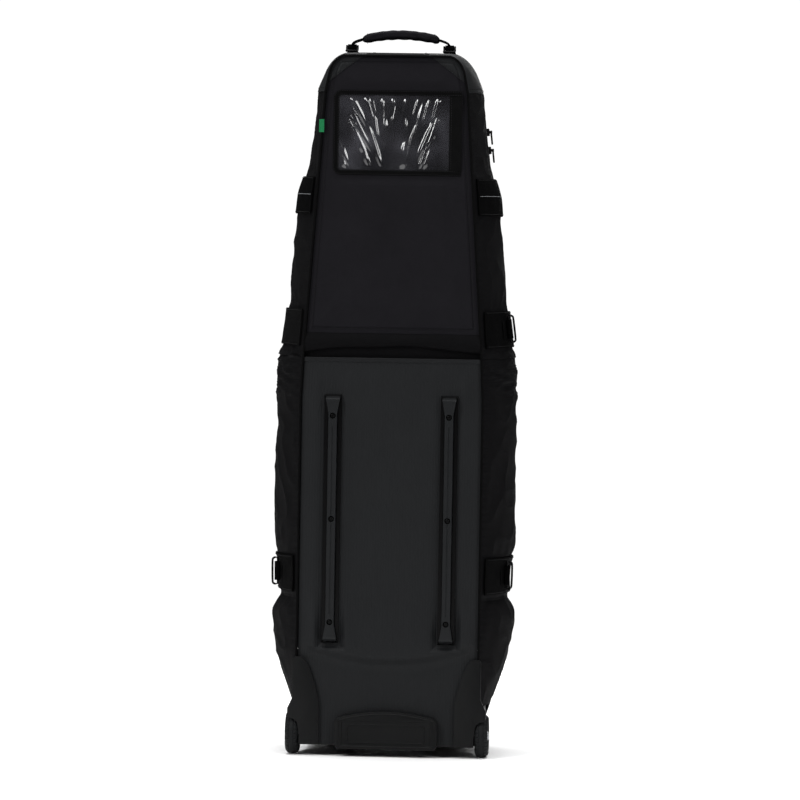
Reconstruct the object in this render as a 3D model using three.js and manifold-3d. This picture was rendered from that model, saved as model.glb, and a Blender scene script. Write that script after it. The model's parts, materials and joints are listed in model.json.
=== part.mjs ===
// Wheeled golf travel case: a soft zipped shell on a moulded base with two wheels,
// skid rails and a padded top handle.
// Millimetres. +Z up, the back panel with its rails faces -Y, the zipped flap faces +Y, left is -X.
// The origin is on the floor, at the centre of the case's length and width.
import * as THREE from "three";
import { mergeVertices } from "three/addons/utils/BufferGeometryUtils.js";
import { RoundedBoxGeometry } from "three/addons/geometries/RoundedBoxGeometry.js";
import Module from "manifold-3d";

const wasm = await Module();
wasm.setup();

// ---- Driving dimensions ----
const GAP = 0.4; // clearance between pieces that touch
const FLOOR_Z = 19; // underside of the shell above the ground

// Outline of the back seam, half width by height
const BASE_HALF = 165;
const STRAIGHT_Z = 640; // the sides are upright up to here
const WAIST_Z = 713; // top edge of the coated lower panel
const WAIST_HALF = BASE_HALF - 3.5;
const TOP_Z = 1254;
const SHOULDER_Z = TOP_Z - 66;
const SHOULDER_HALF = BASE_HALF - 36;
const CORNER_Z = TOP_Z - 30;
const CORNER_HALF = SHOULDER_HALF - 7;
const TOP_HALF = CORNER_HALF - 27;
const TOP_CLOTH_HALF = TOP_HALF - 39; // the coated corner patches stop here

// Depth and fullness of the cloth walls
const GUSSET_DEPTH = 225; // back seam to main zip, lower section
const GUSSET_DEPTH_SHOULDER = 192;
const FRONT_DEPTH = 312; // back panel to the front of the flap, lower section
const FRONT_DEPTH_SHOULDER = 256;
const FRONT_DEPTH_BASE = 284;
const ZIP_FLARE = 33; // how far the main zip stands outside the back seam
const ZIP_FLARE_SHOULDER = 13;
const CLOTH = 4; // gusset wall with its foam
const FLAP_WALL = 5;
const PANEL_SKIN = 3; // coated lower back panel
const UPPER_PANEL = 10; // padded upper back panel
const FRONT_SQUARENESS = 3.2; // exponent of the flap's rounded section

const PIPING_R = 2.2;
const TAG = { z: TOP_Z - 128, width: 9, height: 23 };

// Webbing
const STRAP_HALF = 33; // half height of a side strap patch
const BASE_STRAP_Z = 325;
const WAIST_STRAP_Z = 765;
const HIGH_STRAP_Z = 1002;
const STRAP_THICK = 3;
const STRAP_LIFT = 0.7;
const RING_V = 0.4; // where along the gusset's depth the rings hang
const RING_WIRE = 2.1; // radius
const RING_LENGTH = 52; // along its bar
const RING_REACH = 12; // bar to outer side
const RING_CORNER = 4.5;
const KEEPER = { r: 4.8, length: 34 }; // webbing loop round the ring's bar

// Main flap and zips
const HINGE_Z = 172;
const HINGE_GAP = 0.5; // either side of the flap's hinge line
const ZIP_GAP = 1.5; // either side of the zip line
const SLIDER_Z = SHOULDER_Z - 96;
const SLIDER_PITCH = 33; // between the two sliders of the main zip
const SLIDER = { width: 9, length: 14, height: 7 };
const SLIDER_LIFT = 1.9; // above the zip line
const LUG = { thick: 2, hole: 1.3, pin: 0.9 };
const PULL = { width: 7, length: 25, thick: 3.2 };
const PULL_TAIL = 1.8; // the tab past its pin
const ZIP_COIL = { width: 2.1, thick: 3 };
const POCKET = { half: BASE_HALF - 53, bottom: 330, top: 640, depth: 36, wall: 2, mouth: 14, corner: 16 };

// Running gear
const WHEEL_R = 39;
const WHEEL_WIDTH = 24;
const WHEEL_X = BASE_HALF + 5;
const WHEEL_OVERHANG = 10; // behind the back panel
const WHEEL_CLEAR = 5;
const HUB_R = 24;
const BEARING_R = 11;
const BEARING_WIDTH = 7;
const AXLE_R = 4;
const HOUSING = {
  proud: 6, inner: BASE_HALF - 44, outer: BASE_HALF + 3, brow: BASE_HALF + 13, bottom: 20, top: 177,
};
const WELL_WALL = 3.6;
const WELL_INNER = WHEEL_X - WHEEL_WIDTH / 2 - 1.4 - WELL_WALL; // the tyre clears the wall
const WELL_TOP = 2 * WHEEL_R + WHEEL_CLEAR + WELL_WALL + 6;
const WELL_DEPTH = 2 * WHEEL_R - WHEEL_OVERHANG + WHEEL_CLEAR + WELL_WALL;
const AXLE_NUT = { r: 8, thick: 4 };

// Skid rails
const RAIL_X = 104;
const RAIL_BOTTOM = 202;
const RAIL_LENGTH = 445;
const RAIL_HEIGHT = 14;
const RAIL_FLANGE = { half: 15.5, thick: 4 };
const RAIL_CREST = 7.5; // half width of the crest
const RAIL_END = 14.5; // half width of the crest's flared ends
const RAIL_FLARE = 32; // length of a flared end
const RAIL_SLOPE = 8; // how far an end leans back over the rail's height
const SCREW_INSET = 38;
const SCREW_R = 5;
const SCREW_SHANK_R = 2;
const SCREW_RECESS = 4.5;
const BOARD = { half: BASE_HALF - 17, bottom: 104, top: 690, thick: 2.5 };

// Base pan, feet and hand grip
const TRAY_GAP = 1.5; // between the pan and the cloth around it
const TRAY_HALF = BASE_HALF - CLOTH - TRAY_GAP;
const TRAY_HEIGHT = 42;
const TRAY_WALL = 4;
const FOOT = { x: 88, ahead: 222, width: 70, depth: 26 }; // ahead of the back panel
const GRIP = { half: 91.5, bottom: 14, shoulder: 69, apex: 82, proud: 13, rim: 12 };
const CUP = { half: 72, top: 62, depth: 19, wall: 2.5 };

// Top handle
const HANDLE_HALF = TOP_HALF - 7; // centre line to hinge knuckle
const HANDLE_RISE = 23; // hinge line to the grip's middle
const HANDLE_GRIP_HALF = HANDLE_HALF - 18;
const HANDLE_SAG = 9; // how far the grip's ends hang below its middle
const HANDLE_V = 0.5;
const EYE = { r: 5.5, length: 16 }; // sewn eye at each end of the handle
const HINGE_LIFT = 9; // hinge line above the cloth
const PIN_R = 2.2;
const EAR = { thick: 3, r: 5 };
const ANCHOR = { width: 34, thick: 3 };
const HANDLE_STRAP = { width: 20, thick: 4 };
const HANDLE_GRIP = { width: 30, thick: 18 };

// Label window
const WINDOW = {
  x: 2.5, z: TOP_Z - 139, width: 2 * SHOULDER_HALF - 30, height: 151,
  band: 9, closure: 20, corner: 14, thick: 2.4,
};

// The case is centred on its depth, from the rails to the pocket's slider
const POCKET_FACE = FRONT_DEPTH + ZIP_GAP + POCKET.wall + GAP + POCKET.depth; // ahead of the back panel
const POCKET_SLIDER_LIFT = 1;
const REAR_REACH = RAIL_HEIGHT;
const FRONT_REACH = POCKET_FACE + POCKET_SLIDER_LIFT + SLIDER.height + PULL.thick / 2;
const BACK_Y = (REAR_REACH - FRONT_REACH) / 2; // outer face of the back panels
const WHEEL_Y = BACK_Y - WHEEL_OVERHANG + WHEEL_R;

// ---- Materials ----
const material = (color, roughness, metalness = 0) =>
  new THREE.MeshStandardMaterial({ color, roughness, metalness });
const cloth = material(0x17171a, 0.85);
const coated = material(0x1d1f21, 0.55);
const webbing = material(0x121211, 0.8);
const moulded = material(0x1b1b1a, 0.5);
const rubber = material(0x1c1f22, 0.6);
const steel = material(0x9a9c9e, 0.3, 1);
const blackSteel = material(0x1a1a1b, 0.4, 1);
const board = material(0x202224, 0.6);
const green = material(0x2f8a57, 0.7);
const vinyl = new THREE.MeshStandardMaterial({
  color: 0xd8dce2, roughness: 0.05, transparent: true, opacity: 0.3,
});

// ---- Small helpers ----
const smooth = (a, b, x) => THREE.MathUtils.smoothstep(x, a, b);
const mix = (a, b, t) => a + (b - a) * THREE.MathUtils.clamp(t, 0, 1);
const steps = (a, b, n) => Array.from({ length: n + 1 }, (_, i) => a + ((b - a) * i) / n);
const root = new THREE.Group();

function add(name, geometry, look, parent = root) {
  const mesh = new THREE.Mesh(geometry, look);
  mesh.name = name;
  parent.add(mesh);
  return mesh;
}

// The same geometry on the right and, mirrored, on the left.
function pair(name, geometry, look) {
  add(`${name}_right`, geometry, look);
  add(`${name}_left`, geometry, look).scale.x = -1;
}

function solid(geometry) {
  const bare = new THREE.BufferGeometry();
  bare.setAttribute("position", geometry.getAttribute("position").clone());
  if (geometry.index) bare.setIndex(geometry.index.clone());
  const merged = mergeVertices(bare, 1e-4);
  const vertProperties = merged.attributes.position.array;
  const triVerts = new Uint32Array(merged.index.array);
  return new wasm.Manifold(new wasm.Mesh({ numProp: 3, vertProperties, triVerts }));
}

function geometryOf(manifold) {
  const mesh = manifold.getMesh();
  const points = new Float32Array(mesh.numVert * 3);
  for (let i = 0; i < mesh.numVert; i++)
    points.set(mesh.vertProperties.subarray(i * mesh.numProp, i * mesh.numProp + 3), i * 3);
  const geometry = new THREE.BufferGeometry();
  geometry.setAttribute("position", new THREE.BufferAttribute(points, 3));
  geometry.setIndex(new THREE.BufferAttribute(mesh.triVerts, 1));
  return geometry;
}

const cut = (geometry, ...tools) => geometryOf(tools.reduce((s, t) => s.subtract(solid(t)), solid(geometry)));
const join = (geometry, ...more) => geometryOf(more.reduce((s, t) => s.add(solid(t)), solid(geometry)));
const overlap = (a, b) => geometryOf(solid(a).intersect(solid(b)));

// A box from its lowest to its highest corner.
function block(low, high) {
  const size = high.map((h, i) => h - low[i]);
  return new THREE.BoxGeometry(...size).translate(...low.map((l, i) => l + size[i] / 2));
}

// A shape drawn in the XZ plane, filled from y0 to y1.
function slab(shape, y0, y1, curveSegments = 6) {
  const geometry = new THREE.ExtrudeGeometry(shape, { depth: y1 - y0, bevelEnabled: false, curveSegments });
  return geometry.rotateX(Math.PI / 2).translate(0, y1, 0);
}

// A shape drawn in the YZ plane, filled from x0 to x1.
function side(shape, x0, x1) {
  const geometry = new THREE.ExtrudeGeometry(shape, { depth: x1 - x0, bevelEnabled: false });
  return geometry.rotateX(Math.PI / 2).rotateZ(Math.PI / 2).translate(x0, 0, 0);
}

const outline = (points) => new THREE.Shape(points.map(([x, y]) => new THREE.Vector2(x, y)));

// A closed round profile [radius, distance] turned about a line along X.
function turned(profile, segments = 32) {
  const points = profile.map(([r, d]) => new THREE.Vector2(r, d));
  return new THREE.LatheGeometry(points, segments).rotateZ(-Math.PI / 2);
}

// A sewn panel: a closed sheet whose outer face follows surface(u, v), raised by the lift.
// Outwards is d/dv x d/du, and every panel splits its quads the same way, so neighbours stay parallel.
function panel(surface, us, vs, thickness, lift = 0) {
  const h = 1e-3;
  const outer = [];
  const inner = [];
  for (const u of us)
    for (const v of vs) {
      const du = surface(u + h, v).sub(surface(u - h, v));
      const dv = surface(u, v + h).sub(surface(u, v - h));
      const normal = dv.cross(du).normalize();
      outer.push(surface(u, v).addScaledVector(normal, lift));
      inner.push(surface(u, v).addScaledVector(normal, lift - thickness));
    }
  const columnCount = vs.length;
  const innerStart = us.length * columnCount;
  const index = [];
  const quad = (a, b, c, d) => index.push(a, b, c, c, b, d);
  for (let i = 0; i < us.length - 1; i++)
    for (let j = 0; j < columnCount - 1; j++) {
      const k = i * columnCount + j;
      const m = k + innerStart;
      quad(k, k + 1, k + columnCount, k + columnCount + 1);
      index.push(m, m + columnCount, m + 1, m + columnCount, m + columnCount + 1, m + 1);
    }
  for (let i = 0; i < us.length - 1; i++) {
    const first = i * columnCount;
    const last = first + columnCount - 1;
    quad(first, first + columnCount, first + innerStart, first + columnCount + innerStart);
    quad(last, last + innerStart, last + columnCount, last + columnCount + innerStart);
  }
  for (let j = 0; j < columnCount - 1; j++) {
    const end = (us.length - 1) * columnCount + j;
    quad(j, j + innerStart, j + 1, j + 1 + innerStart);
    quad(end, end + 1, end + innerStart, end + 1 + innerStart);
  }
  const geometry = new THREE.BufferGeometry();
  const positions = [...outer, ...inner].flatMap((p) => [p.x, p.y, p.z]);
  geometry.setAttribute("position", new THREE.Float32BufferAttribute(positions, 3));
  return geometry.setIndex(index);
}

// ---- The shell's shape ----
const seam = new THREE.Path();
seam.moveTo(BASE_HALF, 0);
seam.lineTo(BASE_HALF, STRAIGHT_Z);
seam.lineTo(WAIST_HALF, WAIST_Z);
seam.lineTo(SHOULDER_HALF, SHOULDER_Z);
seam.lineTo(CORNER_HALF, CORNER_Z);
seam.quadraticCurveTo(CORNER_HALF - 7, TOP_Z - 6, TOP_HALF, TOP_Z);
seam.lineTo(-TOP_HALF, TOP_Z);
const SEAM_LENGTH = seam.getLength();
const SEAM_SMOOTHING = 12; // the seam's direction is averaged over this length each way

const seamPoint = (l) => seam.getPointAt(THREE.MathUtils.clamp(l / SEAM_LENGTH, 0, 1));

function seamNormal(l) {
  const along = seamPoint(l + SEAM_SMOOTHING).sub(seamPoint(l - SEAM_SMOOTHING)).normalize();
  return new THREE.Vector2(along.y, -along.x);
}

// Length along the seam at a height, on the right side.
function seamLength(z) {
  let low = 0;
  let high = seamCornerLength;
  for (let i = 0; i < 40; i++) {
    const middle = (low + high) / 2;
    if (seamPoint(middle).y < z) low = middle;
    else high = middle;
  }
  return (low + high) / 2;
}
const seamCornerLength = SEAM_LENGTH - 2 * TOP_HALF; // where the straight top begins
const seamTopLength = (x) => SEAM_LENGTH - TOP_HALF - x; // at a place on the straight top

const upShare = (z) => (z - WAIST_Z) / (SHOULDER_Z - WAIST_Z);
const gussetDepth = (z) => mix(GUSSET_DEPTH, GUSSET_DEPTH_SHOULDER, upShare(z));
const zipY = (z) => BACK_Y + gussetDepth(z);
const zipFlare = (z) =>
  z < WAIST_Z
    ? ZIP_FLARE * smooth(FLOOR_Z, 260, z)
    : mix(ZIP_FLARE, ZIP_FLARE_SHOULDER, upShare(z)) * mix(1, 0.5, smooth(SHOULDER_Z, TOP_Z, z));
const frontY = (z) =>
  BACK_Y + (z < WAIST_Z
    ? mix(FRONT_DEPTH_BASE, FRONT_DEPTH, smooth(0, 300, z))
    : mix(FRONT_DEPTH, FRONT_DEPTH_SHOULDER, upShare(z)));

// How far the gusset's middle swells, with the straps pulling it in
const BELLY_BASE = 1;
const BELLY = 35;
const BELLY_HIGH = 28;
const BELLY_SHOULDER = 14;
const BELLY_TOP = 6;
const CINCHES = [
  { z: BASE_STRAP_Z - 12, depth: 13, width: 48 },
  { z: WAIST_STRAP_Z, depth: 6, width: 55 },
];
function swell(z) {
  const full = z < WAIST_Z
    ? mix(BELLY_BASE, BELLY, smooth(FLOOR_Z, 215, z))
    : mix(BELLY, BELLY_HIGH, smooth(WAIST_Z, 900, z));
  const high = mix(full, BELLY_SHOULDER, smooth(HIGH_STRAP_Z - 8, HIGH_STRAP_Z + 70, z));
  const crown = mix(high, BELLY_TOP, smooth(SHOULDER_Z, TOP_Z, z));
  return crown - CINCHES.reduce((sum, c) => sum + c.depth * Math.exp(-(((z - c.z) / c.width) ** 4)), 0);
}

// Outer surface of the gusset: l along the seam, v from the back seam to the main zip
function wall(l, v) {
  const at = seamPoint(l);
  const out = seamNormal(l).multiplyScalar(zipFlare(at.y) * v + swell(at.y) * 4 * v * (1 - v));
  return new THREE.Vector3(at.x + out.x, BACK_Y + v * gussetDepth(at.y), at.y + out.y);
}

// Outer surface of the front: a squared round section that starts and ends on the main zip
const FLAP_LIP = 0.02; // share of the flap's depth left where it meets the top zip
const FLAP_CROWN = 150; // height over which the flap rounds back to the zip at the top
const zipTopZ = wall(seamTopLength(0), 1).z;
function front(z, turn) {
  const l = z < CORNER_Z
    ? seamLength(z)
    : mix(seamLength(CORNER_Z), seamCornerLength, (z - CORNER_Z) / (zipTopZ - CORNER_Z));
  const edge = wall(l, 1);
  const crown = THREE.MathUtils.clamp((edge.z - zipTopZ + FLAP_CROWN) / FLAP_CROWN, 0, 1);
  const rounded = Math.max(1 - crown ** FRONT_SQUARENESS, 0) ** (1 / FRONT_SQUARENESS);
  const reach = (frontY(edge.z) - edge.y) * Math.max(rounded, FLAP_LIP);
  const c = Math.cos(turn);
  const across = Math.sign(c) * Math.abs(c) ** (2 / FRONT_SQUARENESS);
  const forward = Math.max(Math.sin(turn), 0) ** (2 / FRONT_SQUARENESS);
  return new THREE.Vector3(edge.x * across, edge.y + ZIP_GAP + reach * forward, edge.z);
}

// Heights for a wall's rows: even steps, with a strap's edges and middle among them
function rows(z0, z1, step) {
  const straps = [BASE_STRAP_Z, WAIST_STRAP_Z, HIGH_STRAP_Z];
  const edges = straps.flatMap((z) => [z - STRAP_HALF, z, z + STRAP_HALF]);
  const fixed = [z0, ...edges.filter((z) => z > z0 + 1 && z < z1 - 1), z1];
  return fixed.flatMap((z, i) => {
    if (i === 0) return [z];
    const n = Math.max(1, Math.round((z - fixed[i - 1]) / step));
    return steps(fixed[i - 1], z, n).slice(1);
  });
}
const gussetEnd = 1 - ZIP_GAP / GUSSET_DEPTH_SHOULDER;
const columns = [0, 0.035, 0.13, 0.26, 0.4, 0.55, 0.7, 0.85, 1].map((v) => v * gussetEnd);

// ---- Cloth walls ----
const wellCut = block([WELL_INNER - GAP, BACK_Y - 20, 0], [400, BACK_Y + WELL_DEPTH + GAP, WELL_TOP + GAP]);
const gussetLower = panel(wall, rows(FLOOR_Z + 3, WAIST_Z, 38).map(seamLength), columns, CLOTH);
pair("gusset_lower", cut(gussetLower, wellCut), cloth);
pair("gusset_upper", panel(wall, rows(WAIST_Z + GAP, SHOULDER_Z, 44).map(seamLength), columns, CLOTH), cloth);

const cornerRows = [
  ...steps(seamLength(SHOULDER_Z) + GAP, seamLength(CORNER_Z), 3),
  ...steps(seamLength(CORNER_Z), seamCornerLength, 4).slice(1),
];
const patchEnd = seamTopLength(TOP_CLOTH_HALF);
const patchRows = [...cornerRows, ...steps(seamCornerLength, patchEnd, 2).slice(1)];
pair("corner_patch", panel(wall, patchRows, columns, CLOTH), coated);
add(
  "top_panel",
  panel(wall, steps(patchEnd + GAP, seamTopLength(-TOP_CLOTH_HALF) - GAP, 3), columns, CLOTH),
  cloth,
);

// Half outline of a back panel inside the gussets, mirrored into a whole shape
const PANEL_INSET = CLOTH + 1.2;
function backShape(z0, z1) {
  const levels = [
    z0, STRAIGHT_Z, WAIST_Z, SHOULDER_Z, CORNER_Z,
  ].filter((z, i) => i === 0 || (z > z0 + 1 && z < z1 - 1));
  const half = levels.map((z) => new THREE.Vector2(seamPoint(seamLength(z)).x - PANEL_INSET, z));
  if (z1 < TOP_Z - 20) half.push(new THREE.Vector2(seamPoint(seamLength(z1)).x - PANEL_INSET, z1));
  else half.push(new THREE.Vector2(TOP_HALF - 2, z1));
  return new THREE.Shape([...half, ...half.map((p) => new THREE.Vector2(-p.x, p.y)).reverse()]);
}
const cupCut = block([-CUP.half - 3, BACK_Y - 1, 0], [CUP.half + 3, BACK_Y + CUP.depth + 3.5, CUP.top + 5]);
const wellCutLeft = block(
  [-400, BACK_Y - 20, 0],
  [-WELL_INNER + GAP, BACK_Y + WELL_DEPTH + GAP, WELL_TOP + GAP],
);
const PAD_Z = WAIST_Z + 44; // lower edge of the padded upper panel

// Where the six rail screws go through the lower panel and the board behind it
const screwPlaces = [1, -1].flatMap((side) =>
  [0, 0.5, 1].map((t) => [side * RAIL_X, RAIL_BOTTOM + SCREW_INSET + t * (RAIL_LENGTH - 2 * SCREW_INSET)]),
);
const screwHoles = screwPlaces.map(([x, z]) =>
  new THREE.CylinderGeometry(SCREW_SHANK_R + GAP, SCREW_SHANK_R + GAP, 30, 8).translate(x, BACK_Y, z),
);
const lowerPanel = slab(backShape(FLOOR_Z + 1, WAIST_Z), BACK_Y, BACK_Y + PANEL_SKIN);
add("back_panel_lower", cut(lowerPanel, cupCut, wellCut, wellCutLeft, ...screwHoles), coated);
add("waist_band", slab(backShape(WAIST_Z + GAP, PAD_Z - GAP), BACK_Y + 2, BACK_Y + 5), cloth);
add("back_panel_upper", slab(backShape(PAD_Z, TOP_Z - PANEL_INSET), BACK_Y, BACK_Y + UPPER_PANEL), cloth);
const boardFront = BACK_Y + PANEL_SKIN + GAP;
const boardBlank = block(
  [-BOARD.half, boardFront, BOARD.bottom],
  [BOARD.half, boardFront + BOARD.thick, BOARD.top],
);
add("back_board", cut(boardBlank, ...screwHoles), board);

// ---- Front: fixed lower panel, hinged flap, pocket ----
const turns = steps(0, Math.PI, 14);
add("front_panel_lower", panel(front, steps(FLOOR_Z + 3, HINGE_Z - HINGE_GAP, 4), turns, FLAP_WALL), cloth);
const crownRise = (t) => Math.sin((t * Math.PI) / 2) ** (2 / FRONT_SQUARENESS);
const crownRows = steps(0, 1, 7).map((t) => zipTopZ - FLAP_CROWN * (1 - crownRise(t)));
const flapRows = [
  ...steps(HINGE_Z + HINGE_GAP, WAIST_Z, 8),
  ...steps(WAIST_Z, crownRows[0], 5).slice(1),
  ...crownRows.slice(1),
];
add("front_flap", panel(front, flapRows, turns, FLAP_WALL), cloth);

// A patch pocket swells off the flap, open behind, with a zipped mouth in its front wall
const roundOff = (t) => Math.max(0, 1 - Math.abs(t) ** POCKET.corner) ** (1 / POCKET.corner);
function pocketSurface(a, b) {
  const z = mix(POCKET.bottom, POCKET.top, (a + 1) / 2);
  const edge = wall(seamLength(z), 1);
  const x = -b * POCKET.half;
  const bow = (1 - Math.abs(x / edge.x) ** FRONT_SQUARENESS) ** (1 / FRONT_SQUARENESS);
  const flapY = edge.y + ZIP_GAP + (frontY(edge.z) - edge.y) * bow;
  return new THREE.Vector3(x, flapY + POCKET.wall + GAP + POCKET.depth * roundOff(a) * roundOff(b), z);
}
const pocketSteps = [-1, -0.985, -0.92, -0.8, -0.4, 0, 0.4, 0.8, 0.92, 0.985, 1];
const mouthZ = POCKET.top - 38;
const mouthHalf = POCKET.half - 24;
const mouthCut = block(
  [-mouthHalf, frontY(mouthZ) + 8, mouthZ - POCKET.mouth / 2],
  [mouthHalf, 400, mouthZ + POCKET.mouth / 2],
);
add("flap_pocket", cut(panel(pocketSurface, pocketSteps, pocketSteps, POCKET.wall), mouthCut), cloth);

// ---- Base pan and feet ----
// Plan of the pan, a little smaller than the cloth around it
function trayShape(inset) {
  const edgeY = zipY(FLOOR_Z);
  const scaleX = (TRAY_HALF - inset) / BASE_HALF;
  const reach = frontY(FLOOR_Z) - edgeY;
  const scaleY = (reach - FLAP_WALL - TRAY_GAP - inset) / reach;
  const arc = steps(0, Math.PI, 16).map((turn) => {
    const p = front(FLOOR_Z + 3, turn);
    return new THREE.Vector2(p.x * scaleX, edgeY + (p.y - edgeY) * scaleY);
  });
  const backY = BACK_Y + PANEL_SKIN + GAP + inset;
  const corner = (x) => new THREE.Vector2(x, backY);
  return new THREE.Shape([corner(TRAY_HALF - inset), ...arc, corner(inset - TRAY_HALF)]);
}
const upright = (shape, z0, z1) =>
  new THREE.ExtrudeGeometry(shape, { depth: z1 - z0, bevelEnabled: false }).translate(0, 0, z0);
const trayInside = upright(trayShape(TRAY_WALL), FLOOR_Z + TRAY_WALL, 200);
add(
  "base_tray",
  cut(upright(trayShape(0), FLOOR_Z, FLOOR_Z + TRAY_HEIGHT), trayInside, cupCut, wellCut, wellCutLeft),
  moulded,
);
const foot = new RoundedBoxGeometry(FOOT.width, FOOT.depth, FLOOR_Z - GAP, 1, 3);
pair("front_foot", foot.translate(FOOT.x, BACK_Y + FOOT.ahead, (FLOOR_Z - GAP) / 2), moulded);

// ---- Wheels and their housings ----
const wheelAxis = (geometry) => geometry.translate(0, WHEEL_Y, WHEEL_R);
const shoulder = WHEEL_WIDTH / 2;
const tyreProfile = [
  [HUB_R + GAP, -shoulder + 2], [WHEEL_R - 5, -shoulder], [WHEEL_R - 1, -shoulder + 4], [WHEEL_R, 0],
  [WHEEL_R - 1, shoulder - 4], [WHEEL_R - 5, shoulder], [HUB_R + GAP, shoulder - 2],
  [HUB_R + GAP, -shoulder + 2],
];
const at = (profile, x) => profile.map(([r, d]) => [r, d + x]);
const ring = (inner, outer, width) =>
  [[inner, -width / 2], [outer, -width / 2], [outer, width / 2], [inner, width / 2], [inner, -width / 2]];
pair("tyre", wheelAxis(turned(at(tyreProfile, WHEEL_X), 26)), rubber);
pair("wheel_hub", wheelAxis(turned(at(ring(BEARING_R + GAP, HUB_R, WHEEL_WIDTH - 6), WHEEL_X), 20)), moulded);
pair(
  "wheel_bearing",
  wheelAxis(turned(at(ring(AXLE_R + GAP, BEARING_R, BEARING_WIDTH), WHEEL_X), 16)),
  steel,
);

// The axle is a shouldered pin: a nut inside the well wall, a cap outside the hub
const capX = WHEEL_X + WHEEL_WIDTH / 2 - 3 + 2 * GAP;
const nutX = WELL_INNER - GAP;
const axleProfile = [
  [0, nutX - AXLE_NUT.thick], [AXLE_NUT.r, nutX - AXLE_NUT.thick], [AXLE_NUT.r, nutX], [AXLE_R, nutX],
  [AXLE_R, capX], [AXLE_NUT.r, capX], [AXLE_NUT.r - 1, capX + 2.5], [0, capX + 2.5],
];
pair("axle", wheelAxis(turned(axleProfile, 16)), steel);

// Corner guard with its wheel well
const guardShape = new THREE.Shape();
guardShape.moveTo(HOUSING.inner, HOUSING.bottom);
guardShape.lineTo(HOUSING.inner + 1, WELL_TOP + 5);
const guardEdge = [[7, 125], [16, 152], [24, 169], [33, HOUSING.top]];
guardShape.splineThru(guardEdge.map(([x, z]) => new THREE.Vector2(HOUSING.inner + x, z)));
guardShape.lineTo(HOUSING.outer - 3, HOUSING.top);
guardShape.lineTo(HOUSING.outer, HOUSING.top - 5);
guardShape.lineTo(HOUSING.outer, WELL_TOP + 13);
guardShape.lineTo(HOUSING.brow, WELL_TOP - 8);
guardShape.lineTo(HOUSING.brow, 2 * WHEEL_R - 7);
guardShape.lineTo(HOUSING.outer, 2 * WHEEL_R - 14);
guardShape.lineTo(WELL_INNER + WELL_WALL + 4, 2 * WHEEL_R - 30);
guardShape.lineTo(WELL_INNER + WELL_WALL, HOUSING.bottom);
const guard = slab(guardShape, BACK_Y - HOUSING.proud, BACK_Y - GAP, 3);
const well = block(
  [WELL_INNER, BACK_Y - HOUSING.proud + 1, HOUSING.bottom],
  [HOUSING.brow - 4, BACK_Y + WELL_DEPTH, WELL_TOP],
);
const wellFace = WELL_INNER + WELL_WALL;
const clearR = WHEEL_R + WHEEL_CLEAR;
const wheelRoom = turned(
  [
    [0, wellFace],
    [clearR - 11, wellFace],
    [clearR - 3, wellFace + 4],
    [clearR, wellFace + 11],
    [clearR, 210],
    [0, 210],
  ],
  28,
);
const wheelExit = block([wellFace, WHEEL_Y - clearR, -10], [210, WHEEL_Y + clearR, WHEEL_R]);
const axleHole = turned([[0, 140], [AXLE_R + GAP, 140], [AXLE_R + GAP, 210], [0, 210]], 16);
pair("wheel_housing", cut(join(guard, well), wheelAxis(wheelRoom), wheelExit, wheelAxis(axleHole)), moulded);

// ---- Skid rails ----
function railShape(half, endHalf) {
  const right = [
    [endHalf, RAIL_BOTTOM], [half, RAIL_BOTTOM + RAIL_FLARE],
    [half, RAIL_BOTTOM + RAIL_LENGTH - RAIL_FLARE], [endHalf, RAIL_BOTTOM + RAIL_LENGTH],
  ];
  const left = right.map(([x, z]) => [-x, z]).reverse();
  return outline([...right, ...left]);
}
const railTop = BACK_Y - RAIL_HEIGHT;
const railCrest = slab(railShape(RAIL_CREST, RAIL_END), railTop, BACK_Y - GAP);
const railEnds = side(
  outline([
    [BACK_Y, RAIL_BOTTOM], [BACK_Y, RAIL_BOTTOM + RAIL_LENGTH],
    [railTop, RAIL_BOTTOM + RAIL_LENGTH - RAIL_SLOPE], [railTop, RAIL_BOTTOM + RAIL_SLOPE],
  ]),
  -RAIL_FLANGE.half, RAIL_FLANGE.half,
);
const railFlange = slab(
  railShape(RAIL_FLANGE.half, RAIL_FLANGE.half),
  BACK_Y - RAIL_FLANGE.thick,
  BACK_Y - GAP,
);
const railHoles = screwPlaces.slice(0, 3).flatMap(([, z]) => [
  new THREE.CylinderGeometry(SCREW_R + GAP, SCREW_R + GAP, SCREW_RECESS * 2, 16).translate(0, railTop, z),
  new THREE.CylinderGeometry(SCREW_SHANK_R + GAP, SCREW_SHANK_R + GAP, 60, 8).translate(0, BACK_Y, z),
]);
const rail = cut(overlap(join(railCrest, railFlange), railEnds), ...railHoles).translate(RAIL_X, 0, 0);
pair("skid_rail", rail, moulded);

// Pan-head screws through rail, panel and board
const headY = railTop + SCREW_RECESS - GAP;
const screwProfile = [
  [0, headY - 3], [SCREW_R - 1.5, headY - 3], [SCREW_R, headY - 1.6], [SCREW_R, headY],
  [SCREW_SHANK_R, headY], [SCREW_SHANK_R, boardFront + BOARD.thick + 2], [0, boardFront + BOARD.thick + 2],
].map(([r, y]) => new THREE.Vector2(r, y));
screwPlaces.forEach(([x, z], i) => add(
  `rail_screw_${i + 1}`,
  new THREE.LatheGeometry(screwProfile, 12).translate(x, 0, z),
  blackSteel,
));

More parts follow.
